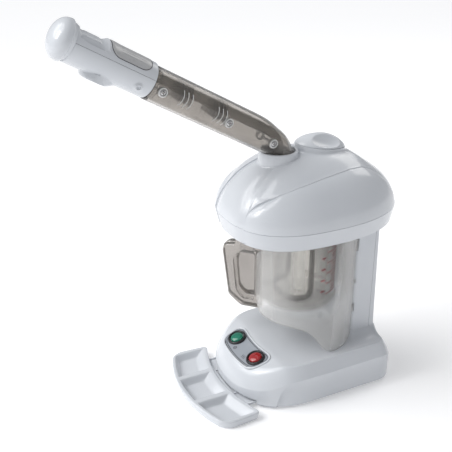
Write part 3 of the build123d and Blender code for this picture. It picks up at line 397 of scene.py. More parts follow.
WHITE = moulded("white_plastic", (0.665, 0.687, 0.72), (0.635, 0.66, 0.695))
INNER = moulded("satin_plastic", (0.70, 0.72, 0.75), (0.66, 0.68, 0.71), roughness=(0.4, 0.55), coat=0.0,
                ripple=0.2)
PANEL = moulded("panel_film", (0.36, 0.385, 0.42), (0.33, 0.36, 0.40), roughness=(0.28, 0.36), coat=0.4)
BLACK = moulded("black_nylon", (0.012, 0.012, 0.014), (0.02, 0.02, 0.022), roughness=(0.2, 0.35))
INK = moulded("dark_ink", (0.05, 0.05, 0.06), (0.08, 0.08, 0.09), roughness=(0.4, 0.5), coat=0.0)
GREEN = moulded("green_lens", (0.0, 0.20, 0.12), (0.0, 0.14, 0.085), roughness=(0.08, 0.16), coat=0.9)
RED = moulded("red_lens", (0.42, 0.012, 0.015), (0.30, 0.008, 0.01), roughness=(0.08, 0.16), coat=0.9)
BADGE = moulded("badge_plate", (0.50, 0.505, 0.51), (0.45, 0.45, 0.448), roughness=(0.24, 0.34), coat=0.4)
RUBBER = moulded("foot_rubber", (0.03, 0.03, 0.032), (0.05, 0.05, 0.05), roughness=(0.6, 0.8), coat=0.0,
                 ripple=0.4)
SEAL = moulded("silicone_seal", (0.72, 0.72, 0.70), (0.66, 0.66, 0.64), roughness=(0.4, 0.55), coat=0.0,
               ripple=0.2)
# painted light: this ceramic glows faintly, though it is no lamp, so the probe tube and lamp holder look
# brightly lit
CERAMIC_PAINTED_GLOW = moulded("white_ceramic", (0.86, 0.86, 0.84), (0.80, 0.80, 0.78), roughness=(0.3, 0.45), coat=0.1,
                  ripple=0.15, painted_glow=0.5)
MARKING = moulded("red_marking", (0.33, 0.012, 0.03), (0.26, 0.008, 0.022), roughness=(0.4, 0.5), coat=0.0)
BOARD = moulded("circuit_board", (0.03, 0.18, 0.07), (0.02, 0.13, 0.05), roughness=(0.35, 0.5), ripple=0.3)
SLEEVE = moulded("woven_sleeve", (0.12, 0.12, 0.13), (0.2, 0.2, 0.21), roughness=(0.6, 0.8), coat=0.0,
                 ripple=0.6)
CHROME = metal("plated_screw", (0.70, 0.69, 0.69), (0.50, 0.50, 0.51))
HEATER = metal("heater_tube", (0.22, 0.205, 0.19), (0.14, 0.13, 0.12), roughness=(0.1, 0.25))
IRON = metal("core_steel", (0.20, 0.21, 0.23), (0.12, 0.12, 0.13), roughness=(0.4, 0.6))
SMOKE = clear("smoky_plastic", (0.62, 0.592, 0.56), (0.575, 0.55, 0.52), roughness=(0.03, 0.12),
              transmission=0.92)
TINTED = clear("tinted_grip", (0.47, 0.44, 0.41), (0.43, 0.40, 0.375), roughness=(0.05, 0.14),
               transmission=0.86)
MILKY = clear("milky_plastic", (0.78, 0.76, 0.73), (0.72, 0.70, 0.67), roughness=(0.1, 0.2), transmission=0.8)
HAZE = clear("hazy_plastic", (0.86, 0.85, 0.835), (0.82, 0.81, 0.795), roughness=(0.12, 0.25))
# painted highlight: the arm's ribs and screw bosses are clear plastic, and this whitish, mostly opaque finish
# paints the bright glints on them
RIB_PAINTED_GLINT = clear("clear_rib_painted_glint", (0.95, 0.95, 0.94), (0.9, 0.9, 0.89), roughness=(0.15, 0.3), transmission=0.25)
GLASS = clear("jar_glass", (0.66, 0.645, 0.615), (0.63, 0.615, 0.585), roughness=(0.0, 0.03), ripple=0.02,
              alpha=0.88)
QUARTZ = clear("lamp_quartz", (0.92, 0.94, 0.97), (0.9, 0.92, 0.96), roughness=(0.0, 0.04))
GUARD = frosted_guard()

KEPT = (
    (INNER, "base_plate tray_guides bayonet_ring filler_tube steam_duct arm_retainer"),
    (CHROME, "base_screws column_screws head_screws heater_terminals arm_screws"),
    (HEATER, "boiler_lid heater_element thermal_cutout"), (RUBBER, "rubber_feet mains_gland"),
    # painted light: the probe tube and lamp holder take the ceramic with its painted glow
    (SEAL, "jar_seal cap_seal"), (CERAMIC_PAINTED_GLOW, "probe_tube lamp_holder"), (MILKY, "steam_pipe pipe_clips"),
    (HAZE, "nozzle_sleeve jar_collar"), (BOARD, "control_board"), (IRON, "transformer"),
    (SLEEVE, "wiring_loom"), (QUARTZ, "ozone_lamp"), (WHITE, "steam_outlet"), (PANEL, "control_panel"),
)
for material, names in KEPT:
    for node in names.split():
        for slot in NODES[node].material_slots:
            slot.material = material


# ---- head
RIDGE = [
    (-70.0, 0.0), (-69.3, 0.15), (-68.0, 0.30), (-63.7, 0.40), (-55.4, 0.49), (-43.3, 0.58), (-27.0, 0.67),
    (-6.6, 0.74), (5.0, 0.775), (22.0, 0.79), (39.5, 0.76), (50.0, 0.70), (54.0, 0.60), (55.5, 0.40),
    (56.2, 0.15), (57.0, 0.0),
]
REAR_FLAT = 3.6


def plan_power(back):
    """Squareness and reach of the head's plan, which differ towards the back and the front."""
    return (HEAD_POWERS[1], 2) if back > 0 else (HEAD_POWERS[0], 1)


def oval_point(angle, size, shift):
    """A point of the head's plan at an angle from +X."""
    across, back = cos(angle), sin(angle)
    power, reach = plan_power(back)
    x = np.sign(across) * abs(across) ** (2 / power) * size[0]
    return np.array([x, np.sign(back) * abs(back) ** (2 / power) * size[reach] + shift])


def rear_flat(x, y):
    """How much lower the head is behind the filler cap, where its back runs straight down."""
    share = min(max((y - 50.0) / 50.0, 0.0), 1.0)
    return REAR_FLAT * sin(pi * share) ** 1.5 * (1 - smooth(abs(x), 22, 52))


def dome_scale(level, least=0.0):
    """Size of the dome's plan at a level, as a share of its foot."""
    return max((1 - level ** DOME_POWERS[0]) ** (1 / DOME_POWERS[1]), least)


def head_surface(angle, level):
    """The plain head: level -1 to 0 is the band, 0 to 1 the dome."""
    if level < 0:
        size = [b + (a - b) * -level for a, b in zip(RIM_SIZE, DOME_SIZE)]
        return np.array([*oval_point(angle, size, 0.0), RIM_TOP + (RIM_TOP - RIM_BOTTOM) * level])
    level = min(level, 1.0)
    scale = dome_scale(level)
    plan = oval_point(angle, [reach * scale for reach in DOME_SIZE], DOME_SHIFT * (1 - scale))
    return np.array([*plan, RIM_TOP + level * DOME_HEIGHT - rear_flat(*plan)])


def folded(angle):
    """Degrees from +X, with the far side folded onto the near side."""
    turned = (angle * 180 / pi + 180) % 360 - 180
    if turned > 90:
        return 180 - turned
    return -180 - turned if turned < -90 else turned


def ridge_level(angle):
    return between(folded(angle), RIDGE)


def flank_shift(angle, level):
    """How far the surface stands out of the plain head, in millimetres."""
    side = folded(angle)
    ridge = ridge_level(angle)
    front, rear = RIDGE[0][0], RIDGE[-1][0]
    if side < front or side > rear:
        away = (front - side) / 14.0 if side < front else (side - rear) / 15.0
        return -1.5 * exp(-(2.2 * away) ** 2)
    below = (ridge - level) * DOME_HEIGHT
    crisp = 1 - smooth(side, -62, -36)
    if below < 0:
        lift = (0.1 + 0.8 * crisp) * exp(below / 2.2) - 1.1 * exp(below / 9.0) * (1 - exp(below / 1.6))
        return lift * smooth(ridge, 0.02, 0.25)
    groove = (-0.75 - 1.3 * crisp) * exp(-below / (6.5 - 3.5 * crisp)) * smooth(ridge, 0.2, 0.45)
    swell = 1.7 * (below / 15.0) * exp(1 - below / 15.0) * smooth(ridge, 0.2, 0.6)
    inside_box = -0.04
    return inside_box + groove + swell * smooth(level, -0.05, 0.25)


def head_point(angle, level):
    """The head's surface with its ridge, groove and flank."""
    here = head_surface(angle, level)
    if level > 0.985:
        return here
    step = 0.01
    along = head_surface(angle + step, level) - head_surface(angle - step, level)
    rise = head_surface(angle, min(level + step, 0.999)) - head_surface(angle, level - step)
    out = np.cross(along, rise)
    shift = flank_shift(angle, level) * smooth(0.99 - level, 0, 0.12)
    return here + out / (np.linalg.norm(out) + 1e-9) * shift


def head_angles():
    """Angles round the head, closer together where the ridge line is steep."""
    stops = set(np.linspace(0, 360, 241)[:-1])
    for edge in (RIDGE[0][0], RIDGE[-1][0]):
        for mirrored in (edge, 180 - edge):
            for step in (-1.2, -0.6, -0.25, -0.08, 0.08, 0.25, 0.6, 1.2, 1.8, 2.6):
                stops.add((mirrored + step) % 360)
    return [radians(a) for a in sorted(stops)]


def build_head():
    angles = head_angles()
    seam_share, foot, top = 0.9965, 0.006, 0.99999

    def shrunk(level, share, place=head_point):
        return [place(a, level) * [share, share, 1] for a in angles]

    rows = [shrunk(-1.0, 0.93, head_surface), shrunk(-1.0, 0.985, head_surface)]
    for level in (-1.0, -0.985, -0.95, -0.8, -0.6, -0.4, -0.2, -0.06, -0.025, -0.0125):
        trim = 1.2 * (1 - smooth(level, -1.0, -0.94))
        spots = [head_point(a, level) for a in angles]
        rows.append([spot - unit(spot * [1, 1, 0]) * trim for spot in spots])
    rows.append(shrunk(-0.004, seam_share))
    piece("head_band", *skin(rows), "root", "white_shell", WHITE, ["head_lower_shell"])

    rows = [shrunk(0.002, seam_share)]
    for share in np.linspace(0, 1, 44) ** 0.85:
        rows.append([head_point(a, max(foot, ridge_level(a)) * share + foot * (1 - share)) for a in angles])
    starts = [ridge_level(a) + 2 * foot * (ridge_level(a) < 0.01) for a in angles]
    for share in 1 - (1 - np.linspace(0, 1, 44)[1:]) ** 1.6:
        rows.append([head_point(a, start + (top - start) * share) for a, start in zip(angles, starts)])
    piece("head_dome", *skin(rows), "root", "white_shell", WHITE, ["head_upper_shell"])


build_head()


def dome_height(x, y):
    """Height of the plain crown above a plan point."""
    low, high = 0.0, 1.0
    for _ in range(30):
        middle = (low + high) / 2
        scale = dome_scale(middle, 1e-4)
        back = y - DOME_SHIFT * (1 - scale)
        power, reach = plan_power(back)
        across = abs(x) / (DOME_SIZE[0] * scale)
        inside = across ** power + (abs(back) / (DOME_SIZE[reach] * scale)) ** power < 1
        low, high = (middle, high) if inside else (low, middle)
    return RIM_TOP + low * DOME_HEIGHT - rear_flat(x, y)


def flared_neck(plan, top, reach, lip):
    """A wall that rises out of the dome with a soft fillet; plan gives its outline grown by a distance."""
    rows = [[np.array([*p, dome_height(*p) - 3.0]) for p in plan(reach)]]
    for turn in np.linspace(0, pi / 2, 12):
        row = []
        for p, q in zip(plan(reach * (1 - sin(turn))), plan(0.0)):
            foot = dome_height(*p)
            rise = min(reach * (1 - cos(turn)), max(top(q) - 0.5 - foot, 0.0))
            row.append(np.array([*p, foot - 0.3 * cos(turn) + rise]))
        rows.append(row)
    for grow, drop in lip:
        rows.append([np.array([*p, top(q) - drop]) for p, q in zip(plan(grow), plan(0.0))])
    return rows


def oval_plan(grow):
    half, length = CAP_HALF + 0.7 + grow, CAP_LENGTH * cos(CAP_TILT) + 0.7 + grow
    return [(half * cos(a), CAP_Y + length * sin(a)) for a in turns(144)]


def collar_plan(grow):
    radius = COLLAR_RADIUS + grow
    return [(radius * cos(a), COLLAR_Y + radius * sin(a)) for a in turns(120)]


def build_necks():
    wall = COLLAR_RADIUS - ARM_RADIUS - 0.7
    lip = [(0.0, 0.9), (-0.25, 0.3), (-0.9, 0.0), (-wall + 0.6, 0.0), (-wall, 0.5), (-wall, 9.0)]
    socket = flared_neck(collar_plan, lambda p: COLLAR_TOP + 1.5, 1.8, lip)
    piece("swivel_socket", *skin(socket), "root", "white_shell", WHITE, ["swivel_collar"])
    lip = [(0.0, 0.7), (-0.25, 0.2), (-0.8, 0.0), (-4.0, 0.0), (-4.4, 0.4), (-4.4, 5.0)]
    neck = flared_neck(oval_plan, lambda p: CAP_SEAT - (p[1] - CAP_Y) * tan(CAP_TILT), 2.5, lip)
    piece("filler_neck", *skin(neck), "root", "white_shell", WHITE)


build_necks()


# ---- filler cap
def cap_height(x, back):
    """Height of the domed cap over its seat: a finger hollow on each side leaves a grip ridge."""
    reach = min(hypot(x / CAP_HALF, back / CAP_LENGTH), 1.0)
    dome = 0.9 + (CAP_HEIGHT - 1.4) * (1 - reach ** 2) ** 0.8
    deepest, hollow_length = 17.0, 23.0
    hollow = 1.5 + 0.056 * (deepest - min(abs(x), deepest)) ** 2 + 4.5 * ((back + 1.0) / hollow_length) ** 2
    if hollow > dome + 6:
        return dome
    soft, level = 0.22, 8
    return -soft * log(exp(-(dome - level) / soft) + exp(-(hollow - level) / soft)) + level


def build_cap():
    steps, rings = 180, 60

    def row_at(scale, grow, height=None):
        row = []
        for a in turns(steps):
            x = (CAP_HALF + grow) * scale * cos(a)
            back = (CAP_LENGTH + grow) * scale * sin(a)
            row.append(seat_point(x, back, cap_height(x, back) if height is None else height))
        return row

    rows = [row_at(0.01, 0.0)] + [row_at(sin(pi / 2 * k / rings), 0.0) for k in range(1, rings + 1)]
    rows += [row_at(1.0, 0.1, 0.6), row_at(1.0, 0.0, 0.4), row_at(1.0, -0.5, 0.2), row_at(1.0, -2.0, 0.15)]
    for radius, z in ((12.4, 287.4), (12.4, 274.0), (11.6, 272.4), (10.2, 272.4), (10.2, 286.5)):
        rows.append(ring(np.array([0.0, SKIRT_Y, z]), radius, ACROSS, NORTH, steps))
    piece("filler_cap_lid", *skin(rows), "cap", "white_shell", WHITE, ["filler_cap"])


build_cap()


# ---- base
NOSE_POWER = 2 / 2.3


def tombstone(t):
    """Plan of the base at t from 0 to 1: square back with rounded corners, oval nose."""
    half, corner = BASE_HALF, BASE_CORNER
    nose_reach = NOSE_START - BASE_FRONT
    side_run, back_run, arc = BASE_REAR - corner - NOSE_START, 2 * (half - corner), pi / 2 * corner
    nose_run = 2.4 * nose_reach + half

    def on_corner(side, a):
        return np.array([side * (half - corner) + corner * cos(a), BASE_REAR - corner + corner * sin(a)])

    d = t * (nose_run + 2 * side_run + 2 * arc + back_run)
    if d < nose_run:
        a = pi * d / nose_run
        x, y = -np.sign(cos(a)) * abs(cos(a)) ** NOSE_POWER * half, sin(a) ** NOSE_POWER * nose_reach
        return np.array([x, NOSE_START - y])
    d -= nose_run
    if d < side_run:
        return np.array([half, NOSE_START + d])
    d -= side_run
    if d < arc:
        return on_corner(1, d / corner)
    d -= arc
    if d < back_run:
        return np.array([half - corner - d, BASE_REAR])
    d -= back_run
    if d < arc:
        return on_corner(-1, pi / 2 + d / corner)
    return np.array([-half, BASE_REAR - corner - (d - arc)])


def column_gap(x, y):
    """Distance outside the column's footprint."""
    dx = max(abs(x) - COLUMN_HALF, 0.0)
    dy = max(COLUMN_FRONT - y, y - COLUMN_REAR, 0.0)
    return hypot(dx, dy)


EDGE_WIDTH, EDGE_DEPTH = 9.5, 13.0


def base_height(x, y, edge):
    """Top of the base at a point that lies edge millimetres inside its outline."""
    ahead = SLOPE_START - y
    soft = 1.6
    slope = soft * log(1 + exp(min(ahead / soft, 60))) * tan(SLOPE_TILT)
    nose = smooth(-y, 30, 78)
    width = EDGE_WIDTH + 6.0 * nose
    depth = EDGE_DEPTH + 5.0 * nose + 4.0 * smooth(y, 80, 91)
    power = 1.32 + 0.75 * nose
    share = min(max(edge / width, 0.0), 1.0)
    drop = depth * (1 - share) ** power
    if nose < 1:
        drop -= 0.75 * (1 - nose) * exp(-((edge - width) / 2.0) ** 2)
    gap = column_gap(x, y)
    flare = (8.5 + 2.0 * smooth(y, 76, 84)) * exp(-gap / 5.5) * smooth(edge, 0, 6) if gap < 30 else 0.0
    return BASE_TOP - slope - drop + flare


def crease_height(y):
    """Height of the flank panel's upper edge: level along the side, then a quarter arc down to the foot."""
    if y > -40:
        return 35.4 + 1.2 * smooth(y, -40, 40)
    share = min((-40 - y) / 23.0, 1.0)
    return 3.4 + 32.0 * sqrt(max(1 - share ** 2.3, 0.0))


def base_bottom(x, y):
    """The shell is cut up over the tray's tongue at the front."""
    return BASE_BOTTOM + 5.3 * smooth(-y, 52, 56) * smooth(51.5 + 1.0 - abs(x), 0, 1.0)


FLANK_RECESS = 3.2
FLAT_FROM, TOP_MIDDLE = 12.6, np.array([0.0, 5.0])


def lip_height(x, y):
    """Height of the flank's crease, kept between the foot and the top edge."""
    return min(max(crease_height(y), base_bottom(x, y) + 0.5), base_height(x, y, 0.0) - 0.6)


def base_wall(outline, normals):
    """Rows of the wall to just over the flank's crease; a step is a row's (height, distance inwards)."""
    rows = [[] for _ in range(9)]
    for spot, out in zip(outline, normals):
        x, y = spot
        flank = smooth(abs(out[0]), 0.55, 0.8) * smooth(y, -64, -61) * (1 - smooth(y, 78, 90))
        recess = FLANK_RECESS * flank
        top, bottom, crease = base_height(x, y, 0.0), base_bottom(x, y), lip_height(x, y)
        steps = (
            (bottom, 2.2), (bottom + 0.25, 0.5 + 0.4 * recess), (bottom + 1.2, 0.5 * recess),
            (bottom + (crease - bottom) * 0.5, 0.85 * recess), (crease - 1.0, recess),
            (crease - 0.4, recess * 0.93), (crease - 0.1, recess * 0.45), (crease + 0.3, 0.05 * flank),
            (crease + 1.3, 0.0),
        )
        for row, (height, deep) in zip(rows, steps):
            row.append(np.array([*(spot - out * deep), min(max(height, bottom), top - 0.05)]))
    return rows


def build_base():
    count = 420
    outline = [tombstone(i / count) for i in range(count)]
    normals = []
    for i in range(count):
        ahead = unit(outline[(i + 1) % count] - outline[i - 1])
        normals.append(np.array([ahead[1], -ahead[0]]))
    rows = [[np.array([p[0] * 0.9, p[1] * 0.9 + 1, base_bottom(*p) + 4.5]) for p in outline]]
    rows += base_wall(outline, normals)
    for share in (0.25, 0.5, 0.75, 0.92):
        row = []
        for x, y in outline:
            top = base_height(x, y, 0.0)
            start = min(lip_height(x, y) + 1.1, top - 0.05)
            row.append(np.array([x, y, start + (top - start) * share]))
        rows.append(row)
    for distance in (0.0, 0.12, 0.35, 0.7, 1.2, 1.9, 2.8, 3.8, 4.9, 6.0, 7.1, 8.1, 8.9, 9.6, 10.4, 11.4, 12.6,
                     14, 15.6, 17.5):
        row = []
        for spot, out in zip(outline, normals):
            plan = spot - out * min(distance, FLAT_FROM)
            if distance > FLAT_FROM:
                plan = plan + (TOP_MIDDLE - plan) * ((distance - FLAT_FROM) / 60.0)
            row.append(np.array([*plan, base_height(*plan, distance)]))
        rows.append(row)
    last = [p[:2] for p in rows[-1]]
    for share in np.linspace(0.02, 0.995, 58):
        plans = [p + (TOP_MIDDLE - p) * share for p in last]
        rows.append([np.array([*p, base_height(*p, 30.0)]) for p in plans])
    piece("base_housing", *skin(rows), "root", "white_shell", WHITE, ["base_shell"])


build_base()


# ---- control panel and switches
SWITCH_V = (SWITCH_Y - SLOPE_START) / cos(SLOPE_TILT)


def panel_outline(grow):
    """Crescent of the panel, as plan points on the slope."""
    front, rear, bow = SWITCH_V - 12.0 - grow, SWITCH_V + 15.4 + grow, 5.0
    narrow, wide = 34.0 + grow, 38.0 + grow
    corners = [(-narrow, front), (narrow, front), (wide, rear), (-wide, rear)]
    loop = round_corners(corners, [9.5 + grow] * 4, arc_steps=10, spacing=1.5)
    return resample([(x, v - bow * (1 - (x / wide) ** 2)) for x, v in loop], 220)


def build_panel():
    line = [slope_point(x, v, 0.32) for x, v in panel_outline(-1.3)]
    piece("panel_keyline", *loop_bead(line, 0.42, flat=0.25, up=SLOPE_OUT), "root", "black_bezel", INK)
    groove = [slope_point(x, v, 0.12) for x, v in panel_outline(0.25)]
    piece("panel_groove", *loop_bead(groove, 0.3, flat=0.5, up=SLOPE_OUT), "root", "black_bezel", INK)
    rim = [slope_point(x, v, 0.25) for x, v in panel_outline(1.7)]
    bead = loop_bead(rim, 1.25, sides=14, flat=0.85, up=SLOPE_OUT)
    piece("panel_rim", *bead, "root", "white_shell", WHITE)


def build_switch(side, name, lens_material, lens_slot):
    centre = slope_point(side * SWITCH_SPACING / 2, SWITCH_V, 0.3)
    bezel = rounded([
        (10.0, -14.0), (10.0, -0.02), (11.5, -0.02), (11.5, 0.7), (10.6, 2.7), (9.3, 2.7), (8.6, 1.6),
        (8.6, -10.0),
    ], 0.45)
    piece(f"{name}_bezel_ring", *lathe(bezel, centre, SLOPE_OUT), "root", "black_bezel", BLACK,
          [f"{name}_switch_bezel"])
    lens = [(0.02, -4.4), (7.4, -4.4), (7.9, -4.0), (7.9, 1.6), (7.75, 2.1), (7.3, 2.5)]
    lens += [(7.0 * cos(a), 2.55 + 1.5 * sin(a)) for a in np.linspace(0.12, pi / 2 - 0.01, 10)]
    piece(f"{name}_lens", *lathe(lens, centre, SLOPE_OUT), f"{name}_switch", lens_slot, lens_material,
          [f"{name}_rocker"])
    if side < 0:
        line = ring(centre + SLOPE_OUT * 3.85, 2.2, SLOPE_UP, ACROSS, 24)
        mark = loop_bead(line, 0.28, up=SLOPE_OUT, flat=0.6)
    else:
        line = [centre + SLOPE_UP * s + SLOPE_OUT * 3.95 for s in (-2.2, 0, 2.2)]
        mark = sweep(line, 0.28, up=SLOPE_OUT, flat=0.6)
    piece(f"{name}_mark", *mark, f"{name}_switch", lens_slot, lens_material)


def wave(x, v, length, out=0.42):
    shares = np.linspace(0, 1, 15)
    return [slope_point(x + 0.7 * sin(t * 2 * pi), v + (t - 0.5) * length, out) for t in shares]


def build_icons():
    """Plain printed signs in place of words: rising steam, and a ringed dot."""
    v = SWITCH_V - 10.5
    steam = [sweep(wave(8.5 + k * 2.2, v + 0.6, 4.2), 0.3, 6, 0.3, SLOPE_OUT) for k in range(3)]
    piece("steam_sign", *merge(*steam), "root", "black_bezel", INK)
    spot = slope_point(-10.5, v + 0.6, 0.42)
    circles = [ring(spot, radius, ACROSS, SLOPE_UP, 28) for radius in (1.0, 2.2)]
    rings = [loop_bead(circle, 0.28, 6, 0.3, SLOPE_OUT) for circle in circles]
    piece("lamp_sign", *merge(*rings), "root", "black_bezel", INK)


build_panel()
build_switch(-1, "ozone", GREEN, "green_lens")
build_switch(1, "steam", RED, "red_lens")
build_icons()


# ---- accessory tray
TRAY_TOP, TRAY_FLOOR = 10.0, 0.8
POCKET_MIDDLES, POCKET_REACH = (-48.5, 0.0, 48.5), 21.8


def tray_inner(x):
    return -102.5 + 16.5 * (x / 73.0) ** 2


def tray_outer(x):
    return -151.0 + 19.0 * (x / 76.0) ** 2


def tray_half(share, middle_depth=47.0):
    """Half-width of the tray at a share of the way from its inner to its outer edge, corners rounded."""
    from_inner, from_outer = share * middle_depth, (1 - share) * middle_depth
    half = 73.0 + 3.0 * share
    return half - edge_drop(7.0, from_inner) - edge_drop(12.5, from_outer)


def soft_min(values, power=6.0):
    return sum(max(v, 1e-4) ** -power for v in values) ** (-1 / power)


def tray_surface(x, share, half):
    """Height of the tray's upper side."""
    depth = tray_inner(x) - tray_outer(x)
    to_inner, to_outer = share * depth, (1 - share) * depth
    rim = min(half - abs(x), to_inner, to_outer)
    edge = TRAY_TOP - edge_drop(1.6, rim)
    best = 0.0
    reach = POCKET_REACH
    for middle in POCKET_MIDDLES:
        ramps = [
            (reach - abs(x - middle)) / 6.5 if middle == 0.0 or (x - middle) * middle < 0
            else (min(reach, half - 3.4 - abs(middle)) - abs(x - middle)) / 6.0,
            (to_outer - 3.4) / 6.5,
            (to_inner - 3.6) / 13.0,
        ]
        best = max(best, min(soft_min(ramps), 1.0) if min(ramps) > 0 else 0.0)
    return edge - (TRAY_TOP - 2.4) * smooth(best)


def build_tray():
    top, bottom = [], []
    for share in (0.5 - 0.5 * cos(pi * k / 110) for k in range(111)):
        half = tray_half(share)
        row_top, row_bottom = [], []
        for x in np.linspace(-1, 1, 281) * half:
            y = tray_inner(x) + (tray_outer(x) - tray_inner(x)) * share
            row_top.append(np.array([x, y, tray_surface(x, share, half)]))
            row_bottom.append(np.array([x * 0.982, y + (0.5 - share) * -2.2, TRAY_FLOOR]))
        top.append(row_top)
        bottom.append(row_bottom)
    pairs = list(zip(border(top), border(bottom)))
    levels = [[a * (1 - drop) + b * drop for a, b in pairs] for drop in (0.0, 0.25, 0.93, 1.0)]
    sheets = skin(top, closed=False), skin(bottom, closed=False), skin(levels, caps=False)
    piece("tray_dish", *merge(*sheets), "tray", "white_shell", WHITE, ["accessory_tray"], crease=50)


def slab(low, high, round_edge=0.5):
    """A block with bevelled upright and top edges."""
    (x0, y0, z0), (x1, y1, z1) = low, high
    loop = round_corners([(x0, y0), (x1, y0), (x1, y1), (x0, y1)], [round_edge * 1.6] * 4, 4, 50.0)
    small = 0.3 * round_edge
    steps = ((round_edge, z0), (0.0, z0 + round_edge), (0.0, z1 - round_edge), (small, z1 - small),
             (round_edge, z1))
    return skin([raised(inset(loop, shrink), z) for shrink, z in steps])


def build_tongue():
    """The tray's sliding tongue, with ribs that leave four shallow pockets."""
    rear = -58.2
    parts = [slab((-50, -99, 4.2), (50, rear, 5.4), 0.3)]
    for x in (-49, -25, 0, 25, 49):
        parts.append(slab((x - 1, -99.5, 5.2), (x + 1, rear, 6.8), 0.3))
    parts.append(slab((-50, -101.5, 4.2), (50, -98.0, 7.4), 0.4))
    piece("tray_tongue", *merge(*parts), "tray", "white_shell", WHITE)


build_tray()
build_tongue()


# ---- column
def column_loop(height, grow, back):
    """Plan of the column's front part, or of its rear cover."""
    lean = COLUMN_LEAN * (height - BASE_TOP) / (RIM_BOTTOM - BASE_TOP)
    half = COLUMN_HALF + grow
    if back:
        front, rear, radii = COLUMN_SPLIT + 0.12, COLUMN_REAR - lean + grow, [0.4, 0.4, 9.0, 9.0]
    else:
        front, rear, radii = COLUMN_FRONT - grow, COLUMN_SPLIT - 0.12, [4.0, 4.0, 0.4, 0.4]
    corners = [(-half, front), (half, front), (half, rear), (-half, rear)]
    return round_corners(corners, radii, arc_steps=8, straights=8)


def build_column():
    heights = (46, 50.5, 51.2, 52, 53, 54.5, 56.5, 59, 62, 66, 72, 90, 120, 150, 180, 199)
    for name, back, node in (("column_front", False, "column_shell"), ("column_back", True, "column_cover")):
        rows = [raised(column_loop(z, 1.8 * exp(-max(z - BASE_TOP, 0) / 5.0), back), z) for z in heights]
        piece(name, *skin(rows), "root", "white_shell", WHITE, [node])


build_column()


# ---- splash guard
GUARD_LOW = [(-60, 87.5), (-30, 86.5), (-19, 83), (-12, 77), (-3, 64), (3, 56), (11, 51.4), (20, 50.8),
             (34, 51.2), (40, 52.8), (47, 56), (51, 58.5)]
GUARD_HIGH = [(-25, 146), (-21, 154), (-18, 158), (-8, 165), (-1, 171), (10, 178), (25, 185), (38, 191),
              (50, 196)]
GUARD_START, GUARD_END = -24.6, 136.2


def guard_low(angle):
    y = GUARD_Y - GUARD_RADIUS * cos(radians(angle))
    if angle < 45:
        corner = min(max((angle - GUARD_START) / 27.0, 0.0), 1.0)
        return 87.0 + 24.0 * (1 - sqrt(max(1 - (1 - corner) ** 2, 0.0)))
    return between(y, GUARD_LOW)


def guard_high(angle):
    return between(angle, GUARD_HIGH)


def softened(function, angle, reach=3.0):
    return sum(function(angle + reach * k / 3) for k in range(-3, 4)) / 7


def build_guard():
    columns, levels = 150, 46
    rows_out, rows_in = [], []
    for k in range(levels + 1):
        row_out, row_in = [], []
        for i in range(columns + 1):
            angle = GUARD_START + (GUARD_END - GUARD_START) * i / columns
            low = softened(guard_low, angle) if angle > 20 else guard_low(angle)
            z = low + (softened(guard_high, angle, 2.0) - low) * k / levels
            a = radians(angle)
            for radius, row in ((GUARD_RADIUS, row_out), (GUARD_RADIUS - GUARD_WALL, row_in)):
                row.append(np.array([radius * sin(a), GUARD_Y - radius * cos(a), z]))
        rows_out.append(row_out)
        rows_in.append(row_in)
    edge = skin([border(rows_out), border(rows_in)], caps=False)
    sheet = merge(skin(rows_out, closed=False), skin(rows_in, closed=False), edge)
    piece("guard_sheet", *sheet, "root", "frosted_clear", GUARD, ["splash_guard"], crease=50)
    x, y = COLUMN_HALF, COLUMN_FRONT
    tabs = [slab((x - 0.8, y - 1.6, low), (x + 0.9, y + 2.6, high), 0.3)
            for low, high in ((166.0, 187.0), (124.0, 128.0), (86.0, 96.0))]
    piece("guard_tabs", *merge(*tabs), "root", "frosted_clear", HAZE)
    peg = [(0.02, 50.2), (3.0, 50.2), (3.0, 57.3), (2.7, 58.0), (2.0, 58.4), (0.02, 58.5)]
    piece("guard_peg_post", *lathe(peg, (-12, 40, 0), steps=32), "root", "white_shell", WHITE, ["guard_peg"])


build_guard()


# ---- water jar
def jar_mark(z, start, reach, points, thick):
    """A printed stroke round the jar, from a bearing in degrees back over a number of degrees."""
    line = []
    for t in np.linspace(0, 1, points):
        a = radians(start) - radians(reach) * t
        line.append(np.array([MARK_RADIUS * cos(a), MARK_RADIUS * sin(a), z]))
    return sweep(line, thick, 6)


def build_jar():
    outer, wall, corner = JAR_RADIUS, JAR_WALL, 6.0
    floor_z, inner = 102.0 + corner, corner - wall
    profile = [(0.02, 103.2), (30.0, 103.0), (34.0, 102.2), (36.5, 102.0)]
    profile += [(outer - corner + corner * sin(a), floor_z - corner * cos(a))
                for a in np.linspace(0.15, pi / 2, 10)]
    profile += [(outer, 140.0), (outer, 180.0), (outer, 200.5), (outer - 0.6, 202.4), (outer - 1.3, 203.0)]
    profile += [(outer - wall + 0.5, 202.6), (outer - wall, 201.5), (outer - wall, 150.0)]
    profile += [(outer - corner + inner * sin(a), floor_z - inner * cos(a) + 0.4)
                for a in np.linspace(pi / 2, 0.15, 10)]
    profile += [(30.0, 105.6), (0.02, 105.8)]
    piece("jar_bowl", *lathe(profile, (0, 0, 0), steps=128), "jar", "jar_glass", GLASS, ["glass_jar"])
    band = rounded([(42.05, 103.5), (43.8, 103.5), (43.8, 110.5), (42.05, 110.5)], 0.7)
    piece("jar_foot_band", *lathe(band, (0, 0, 0), steps=128), "jar", "smoke_clear", HAZE, ["jar_base_ring"])
    marks = [jar_mark(120.0 + 4.4 * k, 42, 27 if k % 3 == 0 else 15, 9, 0.55) for k in range(15)]
    marks += [jar_mark(124.5 + 14.0 * k, 11, 7, 5, 0.95) for k in range(4)]
    piece("jar_level_marks", *merge(*marks), "jar", "red_lens", MARKING)


